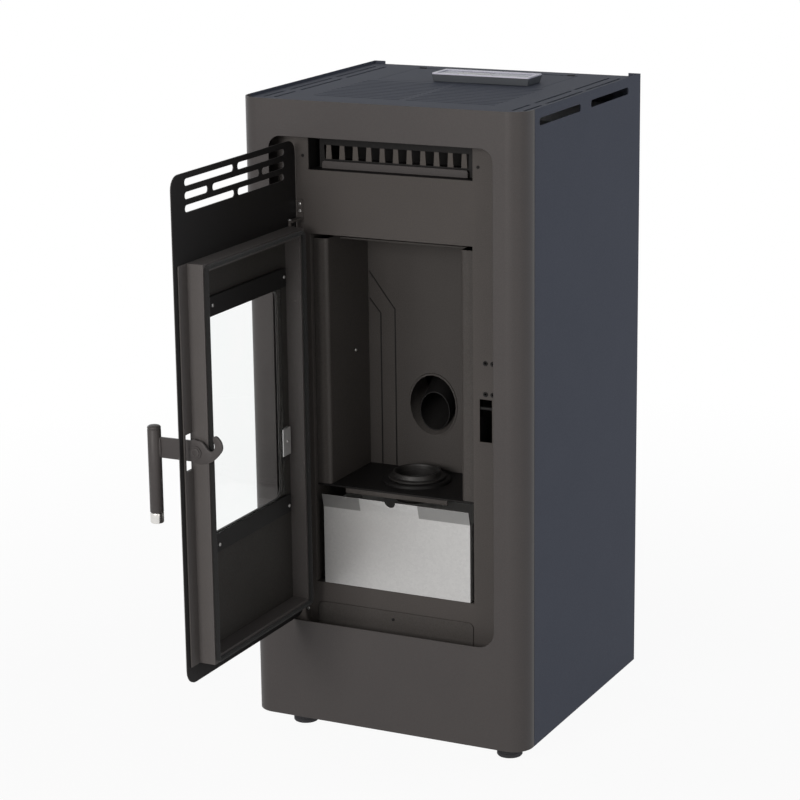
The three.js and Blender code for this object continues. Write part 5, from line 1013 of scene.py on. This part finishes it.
# %% [markdown]
# ## Ironwork of the door
# Short screws hold the clamp bars and the clip that keep the window in place. The upper hinge plate has two
# screws, the lower one has one, and the hinge pin ends in a round head, which is lathe work again.

# %% Screws on the door and the hinge
clamp_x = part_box("glass_clamp_upper")[1].x * 1000
clip_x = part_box("glass_clip")[1].x * 1000
for closed_x in (-120, 94):
    for z in (716, 357):
        drive(place(clamp_x, DOOR_SWING_Y - closed_x, z), RIGHT, "door", 0.8)
drive(place(clip_x, DOOR_SWING_Y + 120, 459.5), RIGHT, "door", 0.7)
hinge_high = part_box("hinge_bracket_upper")[1]
hinge_y = hinge_high.y * 1000 - CABINET_SHIFT_Y - 2
for z in (806, 817, 171):
    drive(place(-150.8, hinge_y, z), FRONT, "cabinet", 0.75)
pin_outline = [(0, -1), (2, -1), (2, 0), (3.3, 0), (3.4, 0.5), (2.9, 1.3), (1.6, 1.9), (0, 2.1)]
pin = turned("hinge_pin_head", pin_outline, place(-153, 5, 796.4), steps=28, angle=35)
pin.data.materials.append(screw_steel)
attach(pin, "cabinet")
print(screw_count, "screws so far")

# %% [markdown]
# ## The back
# The back panel is screwed through the rear tabs of the side panels and into the base. The power inlet has
# three flat pins in its well. These are what someone who walks round the stove sees.

# %% Back screws and inlet pins
tab_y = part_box("side_panel_left")[1].y * 1000 - CABINET_SHIFT_Y
for x in (-224.5, 224.5):
    for z in (30, 210, 390, 570, 750, 930):
        drive(place(x, tab_y, z), BACK, "cabinet", 1.0)
panel_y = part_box("back_panel")[1].y * 1000 - CABINET_SHIFT_Y
for x in (-150, -50, 50, 150):
    drive(place(x, panel_y, 20), BACK, "cabinet", 1.0)
    drive(place(x, panel_y, 962), BACK, "cabinet", 1.0)
SCREW_CIRCLE, COLLAR_FACE = 46.5, 460.2
for angle in (30, 150, 270):
    x = FLUE_X + SCREW_CIRCLE * math.cos(math.radians(angle))
    z = FLUE_Z + SCREW_CIRCLE * math.sin(math.radians(angle))
    drive(place(x, COLLAR_FACE, z), BACK, "cabinet", 0.9)
INLET_X, INLET_Z, PIN_HALF_WIDTH, PIN_HALF_HEIGHT = 168, 92, 0.7, 3
inlet_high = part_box("power_inlet")[1]
for k, (dx, dz) in enumerate(((-7, -1.5), (0, 2.5), (7, -1.5))):
    low = place(INLET_X + dx - PIN_HALF_WIDTH, 446, INLET_Z + dz - PIN_HALF_HEIGHT)
    high = place(INLET_X + dx + PIN_HALF_WIDTH, 458.5, INLET_Z + dz + PIN_HALF_HEIGHT)
    pin = bar(f"inlet_pin_{k + 1}", low, high, 0.4, 2)
    smooth(pin, 30)
    pin.data.materials.append(screw_steel)
    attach(pin, "cabinet")
bpy.data.objects.remove(screw)
print(screw_count, "screws in all; the inlet ends at", round(inlet_high.y, 4))

# %% [markdown]
# ## Floor and light
# The stove stands on a plain white floor under soft lamps, as in a product studio. The camera sees the floor
# and the world as white, and so do reflections and the window, while the light that falls on the stove stays
# plain. A large soft lamp in front lights the face, a strip on the right draws the bright line down the round
# corner, and two weak ones behind, left and right, keep the sides and the back readable.


# %% Floor
NEAR_SHARE = 0.93            # the rest of what the camera sees of the floor is lit, so it keeps the shadow


def seen_plainly(tree):
    """1 for what the camera, a reflection or the window sees, and 0 for light that falls on the stove."""
    path = add(tree, "ShaderNodeLightPath")
    seen = (path, "Is Camera Ray")
    for ray in ("Is Glossy Ray", "Is Transmission Ray"):
        seen = calculate(tree, "MAXIMUM", seen, (path, ray))
    return seen


def studio_floor():
    material, tree, surface, where = start("studio_white_floor", Roughness=0.9)
    surface.inputs["Base Color"].default_value = linear("#F4F4F4")
    far = add(tree, "ShaderNodeVectorMath", {"operation": "LENGTH"}, {0: where})
    plain = spread(tree, (far, "Value"), 0.7, 2.2, NEAR_SHARE, 1.0)
    share = calculate(tree, "MULTIPLY", seen_plainly(tree), plain)
    white = add(tree, "ShaderNodeEmission", {}, {"Color": (1, 1, 1, 1), "Strength": 1.0})
    mixed = add(tree, "ShaderNodeMixShader", {}, {0: share, 1: (surface, "BSDF"), 2: (white, "Emission")})
    join(tree, (mixed, 0), tree.nodes["Material Output"].inputs["Surface"])
    return material


clear()
bpy.ops.mesh.primitive_plane_add(size=24, location=(0, 0, 0))
floor = name_it("studio_floor")
floor.data.materials.append(studio_floor())

# %% Lamps and world
ROOM_LIGHT = 0.17
world = bpy.data.worlds.new("studio")
bpy.context.scene.world = world
world.use_nodes = True
sky = world.node_tree
background = sky.nodes["Background"]
background.inputs["Color"].default_value = (1, 1, 1, 1)
join(sky, spread(sky, seen_plainly(sky), 0, 1, ROOM_LIGHT, 1.0), background.inputs["Strength"])


def lamp(name, spot, aim, size, power, colour="#FFFFFF"):
    light = bpy.data.lights.new(name, "AREA")
    light.shape = "RECTANGLE"
    light.size, light.size_y = size
    light.energy = power
    light.color = linear(colour)[:3]
    made = bpy.data.objects.new(name, light)
    bpy.context.scene.collection.objects.link(made)
    made.location = spot
    made.rotation_euler = (Vector(aim) - Vector(spot)).to_track_quat("-Z", "Y").to_euler()
    return made


lamp("front_softbox", (-0.35, -4.3, 1.7), (0, 0, 0.5), (1.6, 1.6), 110, "#FFFBF8")
lamp("corner_strip", (3.0, -2.35, 1.1), (0.2, -0.1, 0.5), (0.25, 2.0), 14, "#FFF8F0")
lamp("side_softbox_right", (3.3, 1.9, 1.5), (0, 0, 0.6), (1.8, 1.8), 26, "#F0F4FF")
lamp("side_softbox_left", (-3.2, 1.9, 1.5), (0, 0, 0.6), (1.8, 1.8), 22, "#F4F6FF")
print("floor, world and four lamps")

# %% [markdown]
# ## Clearing up
# The dressed stove must be as big as its frame, and every piece rides on the body it belongs to, so that it
# will move with its door, lid or drawer. The last line leaves nothing selected.

# %% Clearing up
clear()
